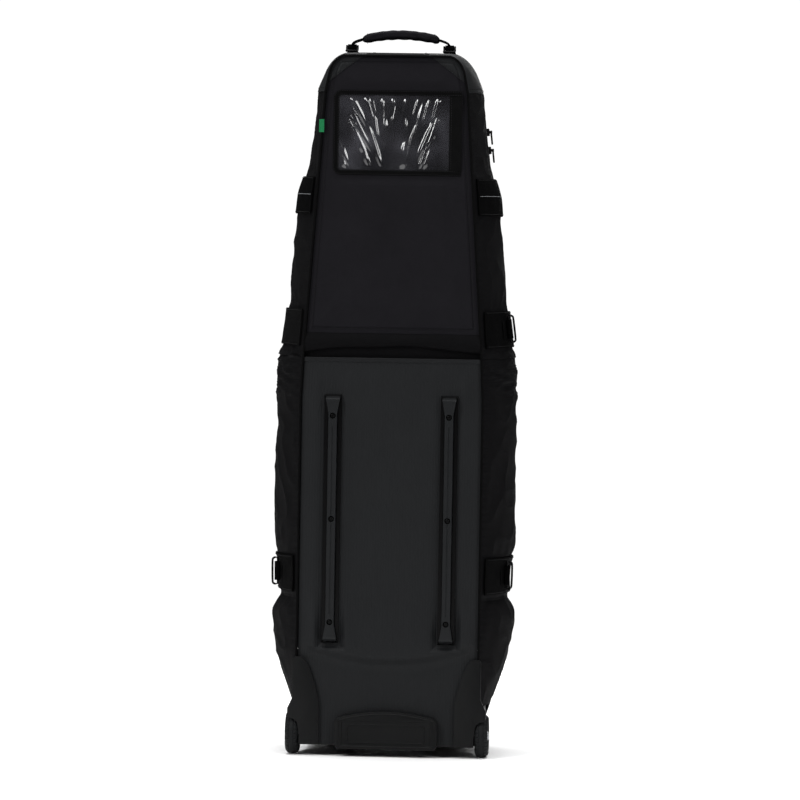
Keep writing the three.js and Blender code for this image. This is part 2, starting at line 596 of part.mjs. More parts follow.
// ---- Hand grip under the base, open below for the fingers ----
const gripShape = new THREE.Shape();
gripShape.moveTo(GRIP.half - 3, GRIP.bottom);
gripShape.lineTo(GRIP.half, GRIP.bottom + 6);
gripShape.lineTo(GRIP.half, GRIP.shoulder - 8);
gripShape.quadraticCurveTo(GRIP.half, GRIP.shoulder, GRIP.half - 14, GRIP.shoulder + 3);
gripShape.quadraticCurveTo(0, 2 * GRIP.apex - GRIP.shoulder - 3, 14 - GRIP.half, GRIP.shoulder + 3);
gripShape.quadraticCurveTo(-GRIP.half, GRIP.shoulder, -GRIP.half, GRIP.shoulder - 8);
gripShape.lineTo(-GRIP.half, GRIP.bottom + 6);
gripShape.lineTo(3 - GRIP.half, GRIP.bottom);
const gripPlate = slab(gripShape, BACK_Y - GRIP.proud, BACK_Y - GAP, 5);
const cupOuter = block(
  [-CUP.half - CUP.wall, BACK_Y - 4, GRIP.bottom],
  [CUP.half + CUP.wall, BACK_Y + CUP.depth, CUP.top + CUP.wall],
);
const cupInner = block(
  [-CUP.half, BACK_Y - GRIP.proud + 4, 0],
  [CUP.half, BACK_Y + CUP.depth - CUP.wall, CUP.top],
);
const gripFace = block(
  [GRIP.rim - GRIP.half, -300, GRIP.bottom + 7],
  [GRIP.half - GRIP.rim, BACK_Y - GRIP.proud + 1.5, GRIP.shoulder - 5],
);
add("base_grip", cut(join(gripPlate, cupOuter), cupInner, gripFace), moulded);

// ---- Seam piping, from one corner guard over the top to the other ----
function sweep(points, section) {
  const path = new THREE.CatmullRomCurve3(points);
  const options = { steps: points.length - 1, extrudePath: path, bevelEnabled: false };
  return new THREE.ExtrudeGeometry(section, options);
}
const pipingStart = seamLength(HOUSING.top + 2);
const pipingHalf = steps(pipingStart, SEAM_LENGTH - TOP_HALF, 20).map((l) => {
  const inner = seamPoint(l).sub(seamNormal(l).multiplyScalar(PIPING_R - 0.5));
  return new THREE.Vector3(inner.x, BACK_Y - PIPING_R - GAP, inner.y);
});
const pipingPoints = [
  ...pipingHalf, ...pipingHalf.slice(0, -1).reverse().map((p) => new THREE.Vector3(-p.x, p.y, p.z)),
];
const roundSection = (r, n) =>
  outline(steps(0, 2 * Math.PI, n).slice(0, -1).map((a) => [r * Math.cos(a), r * Math.sin(a)]));
add("seam_piping", sweep(pipingPoints, roundSection(PIPING_R, 6)), webbing);

// ---- Label window on the upper panel ----
const left = WINDOW.x - WINDOW.width / 2;
const right = WINDOW.x + WINDOW.width / 2;
const bottom = WINDOW.z - WINDOW.height / 2;
const top = WINDOW.z + WINDOW.height / 2;
const frame = new THREE.Shape();
frame.moveTo(right, bottom);
frame.lineTo(right, top);
frame.lineTo(left + WINDOW.corner, top);
frame.quadraticCurveTo(left, top, left, top - WINDOW.corner);
frame.lineTo(left, bottom + WINDOW.corner);
frame.quadraticCurveTo(left, bottom, left + WINDOW.corner, bottom);
const faceY = BACK_Y - GAP;
const inside = { left: left + WINDOW.band, bottom: bottom + WINDOW.band, top: top - WINDOW.band };
const pane = block([inside.left, -300, inside.bottom], [right + 50, 300, inside.top]);
add("window_binding", cut(slab(frame, faceY - WINDOW.thick, faceY, 4), pane), webbing);
const closureX = right - WINDOW.closure;
const sheetLow = [inside.left + GAP, faceY - 1, inside.bottom + GAP];
add("window_sheet", block(sheetLow, [closureX - GAP, faceY, inside.top - GAP]), vinyl);
add(
  "window_closure",
  block([closureX, faceY - 2, inside.bottom + GAP], [right, faceY, inside.top - GAP]),
  webbing,
);
const tagX = seamPoint(seamLength(TAG.z)).x;
add(
  "side_tag",
  block(
    [-tagX - 4, BACK_Y - 6.5, TAG.z - TAG.height / 2],
    [-tagX + TAG.width - 4, BACK_Y - 5.3, TAG.z + TAG.height / 2],
  ),
  green,
);

// ---- Side webbing: patches sewn on the gussets, some with a keeper for a ring ----
// A frame on the outside of the gusset: x up the case, y towards the front, z outwards
function wallFrame(z, v, lift) {
  const l = seamLength(z);
  const up = wall(l + 1, v).sub(wall(l - 1, v)).normalize();
  const ahead = wall(l, v + 0.01).sub(wall(l, v - 0.01));
  const out = ahead.clone().cross(up).normalize();
  const matrix = new THREE.Matrix4().makeBasis(up, out.clone().cross(up), out);
  return matrix.setPosition(wall(l, v).addScaledVector(out, lift));
}
const strapTop = STRAP_LIFT + STRAP_THICK;
const ringLift = strapTop + KEEPER.r - 0.5;
const strapPatch = (z) =>
  panel(
    wall,
    rows(z - STRAP_HALF, z + STRAP_HALF, 38).map(seamLength),
    columns.slice(1, 8),
    STRAP_THICK,
    strapTop,
  );

function strapWithKeeper(z) {
  const frameAt = wallFrame(z, RING_V, ringLift);
  const roll = turned(
    [
      [0, -KEEPER.length / 2],
      [KEEPER.r, -KEEPER.length / 2],
      [KEEPER.r, KEEPER.length / 2],
      [0, KEEPER.length / 2],
    ],
    14,
  );
  const bore = turned([[0, -60], [RING_WIRE + GAP, -60], [RING_WIRE + GAP, 60], [0, 60]], 10);
  return cut(join(strapPatch(z), roll.applyMatrix4(frameAt)), bore.applyMatrix4(frameAt));
}

// A closed loop of round wire through points in a plane
function wireLoop(points, planeNormal, radius, sides) {
  const positions = [];
  const index = [];
  points.forEach((p, i) => {
    const before = points[(i + points.length - 1) % points.length];
    const along = points[(i + 1) % points.length].clone().sub(before);
    const across = along.normalize().cross(planeNormal);
    for (let k = 0; k < sides; k++) {
      const a = (2 * Math.PI * k) / sides;
      const q = p.clone().addScaledVector(across, radius * Math.cos(a));
      q.addScaledVector(planeNormal, radius * Math.sin(a));
      positions.push(q.x, q.y, q.z);
      const j = (i + 1) % points.length;
      const m = (k + 1) % sides;
      index.push(i * sides + k, j * sides + k, i * sides + m, i * sides + m, j * sides + k, j * sides + m);
    }
  });
  const geometry = new THREE.BufferGeometry();
  geometry.setAttribute("position", new THREE.Float32BufferAttribute(positions, 3));
  return geometry.setIndex(index);
}

// A rounded rectangle standing out from its bar, which runs along x
function strapRing(z) {
  const half = RING_LENGTH / 2 - RING_WIRE;
  const reach = RING_REACH - RING_WIRE;
  const corner = (cx, cz, a0) =>
    steps(a0, a0 + Math.PI / 2, 3).map((a) =>
      new THREE.Vector3(cx + RING_CORNER * Math.cos(a), 0, cz + RING_CORNER * Math.sin(a)));
  const points = [
    new THREE.Vector3(-half, 0, 0), new THREE.Vector3(half, 0, 0),
    ...corner(half - RING_CORNER, reach - RING_CORNER, 0),
    ...corner(RING_CORNER - half, reach - RING_CORNER, Math.PI / 2),
  ];
  const loop = wireLoop(points, new THREE.Vector3(0, 1, 0), RING_WIRE, 8);
  return loop.applyMatrix4(wallFrame(z, RING_V, ringLift));
}
pair("base_strap", strapWithKeeper(BASE_STRAP_Z), webbing);
pair("base_ring", strapRing(BASE_STRAP_Z), blackSteel);
add("waist_strap_right", strapWithKeeper(WAIST_STRAP_Z), webbing);
add("waist_ring", strapRing(WAIST_STRAP_Z), blackSteel);
add("waist_strap_left", strapPatch(WAIST_STRAP_Z), webbing).scale.x = -1;
pair("stripe_band", strapPatch(HIGH_STRAP_Z), webbing);


// ---- Top handle on two hinge brackets ----
const topCrown = Math.max(...columns.map((v) => wall(seamTopLength(HANDLE_HALF), v).z));
const handleY = wall(seamTopLength(0), HANDLE_V).y;
const hingeZ = topCrown + HINGE_LIFT;
const bracketX = EYE.length / 2 + GAP;

function handleBracket() {
  const baseZ = topCrown + GAP;
  const reachX = bracketX + EAR.thick;
  const plate = block([-reachX, -ANCHOR.width / 2, baseZ], [reachX, ANCHOR.width / 2, baseZ + ANCHOR.thick]);
  const ear = side(
    outline([
      [-EAR.r - 3, baseZ + 1], [EAR.r + 3, baseZ + 1], [EAR.r, hingeZ], [EAR.r - 2, hingeZ + EAR.r - 1],
      [2 - EAR.r, hingeZ + EAR.r - 1], [-EAR.r, hingeZ],
    ]),
    0, EAR.thick,
  );
  const pin = turned([[0, -reachX], [PIN_R, -reachX], [PIN_R, reachX], [0, reachX]], 12)
    .translate(0, 0, hingeZ);
  return join(plate, ear.clone().translate(bracketX, 0, 0), ear.translate(-reachX, 0, 0), pin);
}
pair("handle_bracket", handleBracket().translate(HANDLE_HALF, handleY, 0), moulded);

// Webbing arch: a ribbon of even thickness along a centre line in the XZ plane
function ribbon(points, thick) {
  const curve = new THREE.CatmullRomCurve3(points.map(([x, z]) => new THREE.Vector3(x, z, 0)));
  const offset = (side) =>
    steps(0, 1, 18).map((t) => {
      const p = curve.getPointAt(t);
      const d = curve.getTangentAt(t);
      return [p.x - (d.y * side * thick) / 2, p.y + (d.x * side * thick) / 2];
    });
  return outline([...offset(-1), ...offset(1).reverse()]);
}
const gripZ = hingeZ + HANDLE_RISE;
const gripLine = (x) => [x, gripZ - HANDLE_SAG * (x / HANDLE_GRIP_HALF) ** 2];
const gripPoints = steps(HANDLE_GRIP_HALF, -HANDLE_GRIP_HALF, 10).map(gripLine);
const archHalf = [[HANDLE_HALF, hingeZ + EYE.r - 1], [HANDLE_HALF - 4, hingeZ + 10]];
const archPoints = [...archHalf, ...gripPoints, ...archHalf.map(([x, z]) => [-x, z]).reverse()];
const strapHalfWidth = HANDLE_STRAP.width / 2;
const arch = slab(ribbon(archPoints, HANDLE_STRAP.thick), -strapHalfWidth, strapHalfWidth, 1);
const eye = turned(ring(PIN_R + GAP, EYE.r, EYE.length), 16).translate(0, 0, hingeZ);
const eyes = [HANDLE_HALF, -HANDLE_HALF].map((x) => eye.clone().translate(x, 0, 0));
const handleStrap = join(arch, ...eyes).translate(0, handleY, 0);
add("handle_strap", handleStrap, webbing);
const gripHalfWidth = HANDLE_GRIP.width / 2;
const gripBlank = slab(ribbon(gripPoints, HANDLE_GRIP.thick), -gripHalfWidth, gripHalfWidth, 1);
const slotPoints = [gripLine(HANDLE_GRIP_HALF + 8), ...gripPoints, gripLine(-HANDLE_GRIP_HALF - 8)];
const slotHalfWidth = strapHalfWidth + GAP;
const gripSlot = slab(ribbon(slotPoints, HANDLE_STRAP.thick + 4 * GAP), -slotHalfWidth, slotHalfWidth, 1);
add("handle_grip", cut(gripBlank, gripSlot).translate(0, handleY, 0), webbing);

// ---- Main zip: coil, two sliders meeting on the right, and their pulls ----
const coilLow = steps(seamLength(HINGE_Z + 2), seamLength(WAIST_Z), 10);
const coilHigh = [...steps(seamLength(WAIST_Z), seamLength(SHOULDER_Z), 8), ...patchRows].slice(1);
const coilHalf = [...coilLow, ...coilHigh];
const coilLengths = [...coilHalf, ...coilHalf.map((l) => 2 * seamTopLength(0) - l).reverse()];
const coil = (l, v) => wall(l, 1).add(new THREE.Vector3(0, (v - 0.5) * ZIP_COIL.width, 0));
const mirrored = (l) => (l <= seamTopLength(0) ? [l, 1] : [2 * seamTopLength(0) - l, -1]);
function coilSurface(l, v) {
  const [half, sign] = mirrored(l);
  const p = coil(half, v);
  return p.setX(p.x * sign);
}
add("main_zip", panel(coilSurface, coilLengths, [0, 1], ZIP_COIL.thick, -0.5), webbing);

// Slider body and lug, built with x along the zip, y across it and z outwards
const lugZ = SLIDER.height + PULL_TAIL + 1;
function sliderBody() {
  const body = new RoundedBoxGeometry(SLIDER.length, SLIDER.width, SLIDER.height, 1, 1.5)
    .translate(0, 0, SLIDER.height / 2);
  const lug = block([-2.6, -LUG.thick / 2, SLIDER.height - 1], [2.6, LUG.thick / 2, lugZ + 2.2]);
  const hole = new THREE.CylinderGeometry(LUG.hole, LUG.hole, 10, 8).translate(0, 0, lugZ);
  return cut(join(body, lug), hole);
}

// The pull's fork straddles the lug, and its tab hangs along -x
function sliderPull() {
  const forkHalf = PULL.width / 2;
  const tab = new RoundedBoxGeometry(PULL.length, PULL.width, PULL.thick, 1, 1.2)
    .translate(PULL_TAIL - PULL.length / 2, 0, lugZ);
  const slot = block([-4, -LUG.thick / 2 - GAP, 0], [10, LUG.thick / 2 + GAP, 40]);
  const pin = new THREE.CylinderGeometry(LUG.pin, LUG.pin, 2 * forkHalf - 1, 8).translate(0, 0, lugZ);
  return join(cut(tab, slot), pin);
}

// The two panels beside the zip meet at a shallow angle, so the slider faces half way between them
function zipFrame(z) {
  const l = seamLength(z);
  const up = wall(l + 1, 1).sub(wall(l - 1, 1)).normalize();
  const gussetSide = wall(l, 1).sub(wall(l, 0.99)).normalize();
  const ahead = gussetSide.add(new THREE.Vector3(0, 1, 0)).normalize();
  const out = ahead.clone().cross(up).normalize();
  const matrix = new THREE.Matrix4().makeBasis(up, out.clone().cross(up), out);
  return matrix.setPosition(wall(l, 1).addScaledVector(out, SLIDER_LIFT));
}
[["upper", SLIDER_Z + SLIDER_PITCH], ["lower", SLIDER_Z]].forEach(([which, z]) => {
  add(`zip_slider_${which}`, sliderBody().applyMatrix4(zipFrame(z)), steel);
  add(`zip_pull_${which}`, sliderPull().applyMatrix4(zipFrame(z)), rubber);
});

// ---- Pocket zip slider at the left end of the mouth, seen from the front ----
const pocketSliderX = mouthHalf - SLIDER.length / 2 - 4;
const pocketFrame = new THREE.Matrix4().makeBasis(
  new THREE.Vector3(-1, 0, 0), new THREE.Vector3(0, 0, 1), new THREE.Vector3(0, 1, 0),
);
pocketFrame.setPosition(pocketSliderX, BACK_Y + POCKET_FACE + POCKET_SLIDER_LIFT, mouthZ);
const pocketTab = new RoundedBoxGeometry(PULL.length, PULL.width, PULL.thick, 1, 1.2)
  .translate(-PULL.length / 2, 0, SLIDER.height);
const pocketSlider = new RoundedBoxGeometry(SLIDER.length, POCKET.mouth + 6, SLIDER.height, 1, 1.5)
  .translate(0, 0, SLIDER.height / 2);
add("pocket_slider", join(pocketSlider, pocketTab).applyMatrix4(pocketFrame), steel);

export default root;
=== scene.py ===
"""Looks for the golf travel case: cloth, webbing, mouldings and clear vinyl on the CAD part."""

import json
import math

import bmesh
import bpy
import numpy as np
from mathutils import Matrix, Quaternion, Vector


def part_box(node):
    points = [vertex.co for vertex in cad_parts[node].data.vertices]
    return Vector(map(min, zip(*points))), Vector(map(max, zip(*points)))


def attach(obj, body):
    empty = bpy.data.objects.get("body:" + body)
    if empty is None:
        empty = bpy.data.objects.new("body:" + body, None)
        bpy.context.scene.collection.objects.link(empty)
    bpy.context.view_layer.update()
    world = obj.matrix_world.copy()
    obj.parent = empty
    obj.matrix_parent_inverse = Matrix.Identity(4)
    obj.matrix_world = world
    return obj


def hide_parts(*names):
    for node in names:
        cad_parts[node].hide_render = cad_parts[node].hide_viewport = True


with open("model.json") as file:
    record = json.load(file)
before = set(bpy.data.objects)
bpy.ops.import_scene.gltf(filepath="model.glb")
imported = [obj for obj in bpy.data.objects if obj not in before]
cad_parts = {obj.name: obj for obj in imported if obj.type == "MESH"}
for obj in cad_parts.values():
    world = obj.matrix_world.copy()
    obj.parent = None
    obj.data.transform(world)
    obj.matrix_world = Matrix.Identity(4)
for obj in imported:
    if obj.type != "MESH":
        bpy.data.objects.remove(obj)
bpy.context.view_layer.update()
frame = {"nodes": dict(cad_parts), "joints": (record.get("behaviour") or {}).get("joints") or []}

RIGHT, LEFT = 1, -1
SIDES = ((RIGHT, "right"), (LEFT, "left"))
rng = np.random.default_rng(7)

# ---- Driving dimensions, metres ----
BACK_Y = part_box("back_panel_lower")[0][1]
FLOOR_Z = 0.019
BASE_HALF = 0.165
STRAIGHT_Z = 0.640
WAIST_Z = 0.713
WAIST_HALF = 0.1615
PAD_Z = 0.757
SHOULDER_Z = 1.188
SHOULDER_HALF = 0.129
CORNER_Z = 1.224
CORNER_HALF = 0.122
TOP_Z = 1.254
TOP_HALF = 0.095
TOP_CLOTH_HALF = 0.056
GUSSET_DEPTH = 0.225
STRAP_BACK, STRAP_FRONT = 0.034, 0.82
RING_SHARE = 0.4
GUSSET_DEPTH_SHOULDER = 0.192
FRONT_DEPTH = 0.312
FRONT_DEPTH_SHOULDER = 0.256
FRONT_DEPTH_BASE = 0.284
ZIP_FLARE = 0.033
ZIP_FLARE_SHOULDER = 0.013
ZIP_GAP = 0.0015
FRONT_SQUARENESS = 3.2
FLAP_CROWN = 0.150
FLAP_LIP = 0.02
BELLY_BASE = 0.001
BELLY = 0.035
BELLY_HIGH = 0.028
BELLY_SHOULDER = 0.014
BELLY_TOP = 0.006
STRAP_HALF = 0.033
BASE_STRAP_Z = 0.325
WAIST_STRAP_Z = 0.765
HIGH_STRAP_Z = 1.002
STRAP_THICK = 0.003
STRAP_LIFT = 0.0007
HINGE_Z = 0.172
CLOTH = 0.004
WELL_INNER = 0.153
WELL_TOP = 0.093
CUP_HALF, CUP_TOP = 0.0755, 0.067
WELL_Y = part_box("wheel_housing_right")[1][1] + 0.0004
BACK = np.array([0.0, -1.0, 0.0])
PANEL_INSET = 0.0042
PAD_TOP_Z = TOP_Z - PANEL_INSET
WINDOW = {"x": 0.0025, "z": 1.115, "width": 0.228, "height": 0.151, "band": 0.009, "closure": 0.020}
WINDOW_LEFT = WINDOW["x"] - WINDOW["width"] / 2
WINDOW_RIGHT = WINDOW["x"] + WINDOW["width"] / 2
WINDOW_LOW = WINDOW["z"] - WINDOW["height"] / 2
WINDOW_HIGH = WINDOW["z"] + WINDOW["height"] / 2
FILM_FOLDS = 34
POCKET = {"half": 0.112, "bottom": 0.330, "top": 0.640, "depth": 0.036, "wall": 0.002, "corner": 16}
RAIL_X = 0.104
RAIL_BOTTOM = 0.202
RAIL_LENGTH = 0.445
RAIL_HEIGHT = 0.014
RAIL_HALF = 0.0155
SCREW_INSET = 0.038
SCREW_LEVELS = (
    RAIL_BOTTOM + SCREW_INSET,
    RAIL_BOTTOM + RAIL_LENGTH / 2,
    RAIL_BOTTOM + RAIL_LENGTH - SCREW_INSET,
)
RECESS_RADIUS = 0.0054
RECESS_DEPTH = 0.0045
HANDLE_HALF = 0.088
GRIP_HALF = 0.070
GRIP_SAG = 0.009
GRIP_WIDTH, GRIP_THICK = 0.030, 0.0178
GRIP_SQUARENESS = 0.62


# ---- Small numeric helpers ----
def smooth(a, b, x):
    """0 below a, 1 above b, with an even ramp between."""
    t = np.clip((x - a) / (b - a), 0, 1)
    return t * t * (3 - 2 * t)


def mix(a, b, t):
    return a + (b - a) * np.clip(t, 0, 1)


def unit(v):
    return v / np.maximum(np.linalg.norm(v, axis=-1, keepdims=True), 1e-12)


def gradient_noise(x, y, seed):
    """Soft noise between -1 and 1 whose features are about one unit across."""
    x, y = np.broadcast_arrays(np.asarray(x, float), np.asarray(y, float))
    angles = np.random.default_rng(seed).uniform(0, 2 * np.pi, (64, 64))
    ix, iy = np.floor(x).astype(int), np.floor(y).astype(int)
    fx, fy = x - ix, y - iy
    ease = lambda t: t * t * t * (t * (6 * t - 15) + 10)

    def corner(dx, dy):
        a = angles[(ix + dx) % 64, (iy + dy) % 64]
        return np.cos(a) * (fx - dx) + np.sin(a) * (fy - dy)

    low = mix(corner(0, 0), corner(1, 0), ease(fx))
    high = mix(corner(0, 1), corner(1, 1), ease(fx))
    return 1.5 * mix(low, high, ease(fy))


def creases(x, y, seed):
    """Narrow ridges between broad dips, as folds in cloth are: 0 to 1."""
    return (1 - np.abs(gradient_noise(x, y, seed))) ** 3


def distances(points):
    """Distance along a line to each of its points."""
    return np.concatenate([[0], np.cumsum(np.linalg.norm(np.diff(points, axis=0), axis=-1))])


def sampled(values, at, s):
    """Rows of values known at distances at, read off at distances s."""
    return np.stack([np.interp(s, at, column) for column in values.T], axis=-1)


def placed(x, y, z):
    """Points from coordinates, any of which may be a single number."""
    return np.stack(np.broadcast_arrays(x, y, z), axis=-1)


# ---- The shell's shape, as in the CAD part ----
def seam_points():
    start = np.array([CORNER_HALF, CORNER_Z])
    bend = np.array([CORNER_HALF - 0.007, TOP_Z - 0.006])
    end = np.array([TOP_HALF, TOP_Z])
    t = np.linspace(0, 1, 24)[:, None]
    corner = (1 - t) ** 2 * start + 2 * t * (1 - t) * bend + t**2 * end
    side = [(BASE_HALF, 0), (BASE_HALF, STRAIGHT_Z), (WAIST_HALF, WAIST_Z), (SHOULDER_HALF, SHOULDER_Z)]
    return np.vstack([side, corner, [(-TOP_HALF, TOP_Z)]])


SEAM = seam_points()
SEAM_AT = distances(SEAM)
SEAM_LENGTH = SEAM_AT[-1]
CORNER_LENGTH = SEAM_LENGTH - 2 * TOP_HALF
SEAM_SMOOTHING = 0.012


def seam_xz(l):
    return sampled(SEAM, SEAM_AT, l)


def seam_length(z):
    return np.interp(z, SEAM[:-1, 1], SEAM_AT[:-1])


def seam_out(l):
    along = unit(seam_xz(l + SEAM_SMOOTHING) - seam_xz(l - SEAM_SMOOTHING))
    return np.stack([along[..., 1], -along[..., 0]], axis=-1)


def up_share(z):
    return (z - WAIST_Z) / (SHOULDER_Z - WAIST_Z)


def gusset_depth(z):
    return mix(GUSSET_DEPTH, GUSSET_DEPTH_SHOULDER, up_share(z))


def zip_flare(z):
    lower = ZIP_FLARE * smooth(FLOOR_Z, 0.260, z)
    upper = mix(ZIP_FLARE, ZIP_FLARE_SHOULDER, up_share(z)) * mix(1, 0.5, smooth(SHOULDER_Z, TOP_Z, z))
    return np.where(z < WAIST_Z, lower, upper)


def front_y(z):
    lower = mix(FRONT_DEPTH_BASE, FRONT_DEPTH, smooth(0, 0.300, z))
    return BACK_Y + np.where(z < WAIST_Z, lower, mix(FRONT_DEPTH, FRONT_DEPTH_SHOULDER, up_share(z)))


def cinch(z, centre, depth, width):
    return depth * np.exp(-(((z - centre) / width) ** 4))


def swell(z):
    lower = mix(BELLY_BASE, BELLY, smooth(FLOOR_Z, 0.215, z))
    full = np.where(z < WAIST_Z, lower, mix(BELLY, BELLY_HIGH, smooth(WAIST_Z, 0.900, z)))
    high = mix(full, BELLY_SHOULDER, smooth(HIGH_STRAP_Z - 0.008, HIGH_STRAP_Z + 0.070, z))
    crown = mix(high, BELLY_TOP, smooth(SHOULDER_Z, TOP_Z, z))
    return crown - cinch(z, BASE_STRAP_Z - 0.012, 0.013, 0.048) - cinch(z, WAIST_STRAP_Z, 0.006, 0.055)


def wall(l, v):
    """Outer surface of the right gusset: l along the seam, v from the back seam to the main zip."""
    l, v = np.broadcast_arrays(l, v)
    at = seam_xz(l)
    z = at[..., 1]
    out = seam_out(l) * (zip_flare(z) * v + swell(z) * 4 * v * (1 - v))[..., None]
    return placed(at[..., 0] + out[..., 0], BACK_Y + v * gusset_depth(z), z + out[..., 1])


ZIP_TOP_Z = wall(SEAM_LENGTH - TOP_HALF, 1.0)[2]


def front(z, turn):
    """Outer surface of the front, from the right zip (turn 0) round to the left one (turn pi)."""
    z, turn = np.broadcast_arrays(z, turn)
    corner = mix(seam_length(CORNER_Z), CORNER_LENGTH, (z - CORNER_Z) / (ZIP_TOP_Z - CORNER_Z))
    edge = wall(np.where(z < CORNER_Z, seam_length(z), corner), np.ones_like(z))
    crown = np.clip((edge[..., 2] - ZIP_TOP_Z + FLAP_CROWN) / FLAP_CROWN, 0, 1)
    rounded = np.maximum(1 - crown**FRONT_SQUARENESS, 0) ** (1 / FRONT_SQUARENESS)
    reach = (front_y(edge[..., 2]) - edge[..., 1]) * np.maximum(rounded, FLAP_LIP)
    c, s = np.cos(turn), np.maximum(np.sin(turn), 0)
    across = np.sign(c) * np.abs(c) ** (2 / FRONT_SQUARENESS)
    forward = s ** (2 / FRONT_SQUARENESS)
    y = edge[..., 1] + ZIP_GAP + reach * forward
    return placed(edge[..., 0] * across, y, edge[..., 2])


# ---- Mesh helpers ----
def added(name, data):
    """A new object in the scene."""
    obj = bpy.data.objects.new(name, data)
    bpy.context.scene.collection.objects.link(obj)
    return obj


def reworked(mesh, *steps):
    """Runs steps, each a function of a bmesh, on a mesh."""
    bm = bmesh.new()
    bm.from_mesh(mesh)
    for step in steps:
        step(bm)
    bm.to_mesh(mesh)
    bm.free()


def merged(distance):
    return lambda bm: bmesh.ops.remove_doubles(bm, verts=bm.verts, dist=distance)


def turned_outward(bm):
    """Turns every face of a closed piece to the outside."""
    bmesh.ops.recalc_face_normals(bm, faces=bm.faces)
    if bm.calc_volume(signed=True) < 0:
        bmesh.ops.reverse_faces(bm, faces=bm.faces)


def outward(obj):
    reworked(obj.data, turned_outward)
    return obj


def new_object(name, vertices, faces, material, uv=None, smooth_angle=40):
    mesh = bpy.data.meshes.new(name)
    mesh.from_pydata([tuple(v) for v in vertices], [], [tuple(map(int, f)) for f in faces])
    mesh.update()
    if uv is not None:
        layer = mesh.uv_layers.new(name="metres")
        loops = np.empty(len(mesh.loops), dtype=int)
        mesh.loops.foreach_get("vertex_index", loops)
        layer.data.foreach_set("uv", uv[loops].astype(np.float32).ravel())
    mesh.materials.append(material)
    obj = added(name, mesh)
    shade(obj, smooth_angle)
    return obj


def shade(obj, angle):
    with bpy.context.temp_override(object=obj, active_object=obj, selected_objects=[obj]):
        bpy.ops.object.shade_smooth_by_angle(angle=math.radians(angle))


def grid_normals(p):
    """Outward normals of a grid of points, rows along u and columns along v."""
    du = np.gradient(p, axis=0)
    dv = np.gradient(p, axis=1)
    return unit(np.cross(dv, du))


def grid_uv(p):
    """Distances along the rows and columns, so that a texture keeps its real size."""
    du = np.linalg.norm(np.diff(p, axis=0), axis=-1).mean(axis=1)
    dv = np.linalg.norm(np.diff(p, axis=1), axis=-1).mean(axis=0)
    u = np.concatenate([[0], np.cumsum(du)])
    v = np.concatenate([[0], np.cumsum(dv)])
    return np.stack(np.meshgrid(v, u), axis=-1).reshape(-1, 2)


def cloth_sheet(name, points, thick, material, keep=None, mirror=False):
    """A closed sheet with its outer face through a grid of points, made of the keep cells only."""
    rows, columns = points.shape[:2]
    inner = points - grid_normals(points) * thick
    index = np.arange(rows * columns).reshape(rows, columns)
    cells = np.ones((rows - 1, columns - 1), bool) if keep is None else keep
    a, b = index[:-1, :-1][cells], index[:-1, 1:][cells]
    c, d = index[1:, 1:][cells], index[1:, :-1][cells]
    outer_faces = np.stack([a, b, c, d], axis=1)
    inner_faces = outer_faces[:, ::-1] + rows * columns
    edges = {}
    for face in outer_faces:
        for i in range(4):
            edges[(face[i], face[(i + 1) % 4])] = True
    rim = [(j, i, i + rows * columns, j + rows * columns) for i, j in edges if (j, i) not in edges]
    faces = np.vstack([outer_faces, inner_faces, rim])
    vertices = np.vstack([points.reshape(-1, 3), inner.reshape(-1, 3)])
    if mirror:
        vertices = vertices * (-1, 1, 1)
        faces = faces[:, ::-1]
    uv = np.vstack([grid_uv(points)] * 2)
    obj = new_object(name, vertices, faces, material, uv)
    reworked(obj.data, without_loose_points)
    return obj


def without_loose_points(bm):
    bmesh.ops.delete(bm, geom=[v for v in bm.verts if not v.link_faces], context="VERTS")


def fitted(obj, body, slot, *nodes):
    """Puts a piece on its CAD body, in place of the nodes it stands for."""
    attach(obj, body)
    if nodes:
        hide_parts(*nodes)
    return obj


# ---- Materials ----
def shader(name, color, roughness, metallic=0.0, specular=0.12):
    """A Principled material with its constants set, and its node tree to build on."""
    material = bpy.data.materials.new(name)
    material.use_nodes = True
    tree = material.node_tree
    principled = tree.nodes["Principled BSDF"]
    principled.inputs["Base Color"].default_value = (*color, 1)
    principled.inputs["Roughness"].default_value = roughness
    principled.inputs["Metallic"].default_value = metallic
    principled.inputs["Specular IOR Level"].default_value = 0.5 if metallic else specular
    return material, tree, principled


def linked(tree, kind, socket_values=None, **properties):
    node = tree.nodes.new(kind)
    for key, value in properties.items():
        setattr(node, key, value)
    for key, value in (socket_values or {}).items():
        if isinstance(value, bpy.types.NodeSocket):
            tree.links.new(value, node.inputs[key])
        else:
            node.inputs[key].default_value = value
    return node


def math_node(tree, operation, a, b=0.0, c=0.0):
    return linked(tree, "ShaderNodeMath", {0: a, 1: b, 2: c}, operation=operation).outputs[0]


def ridges(tree, coordinate, pitch):
    """0 to 1 to 0 along a coordinate in metres, once every pitch."""
    turns = math_node(tree, "MULTIPLY", coordinate, 2 * math.pi / pitch)
    wave = math_node(tree, "SINE", turns)
    return math_node(tree, "MULTIPLY_ADD", wave, 0.5, 0.5)


def metres(tree):
    """Metres across and along a piece of cloth."""
    uv = linked(tree, "ShaderNodeUVMap", uv_map="metres").outputs[0]
    return linked(tree, "ShaderNodeSeparateXYZ", {0: uv}).outputs[:2]


def object_point(tree):
    return linked(tree, "ShaderNodeTexCoord").outputs["Object"]


def noise(tree, vector, scale, detail=3.0, roughness=0.55):
    values = {"Vector": vector, "Scale": scale, "Detail": detail, "Roughness": roughness}
    return linked(tree, "ShaderNodeTexNoise", values).outputs["Fac"]


def add_bump(tree, principled, height, strength, distance):
    values = {"Height": height, "Strength": strength, "Distance": distance}
    normal = linked(tree, "ShaderNodeBump", values).outputs["Normal"]
    tree.links.new(normal, principled.inputs["Normal"])


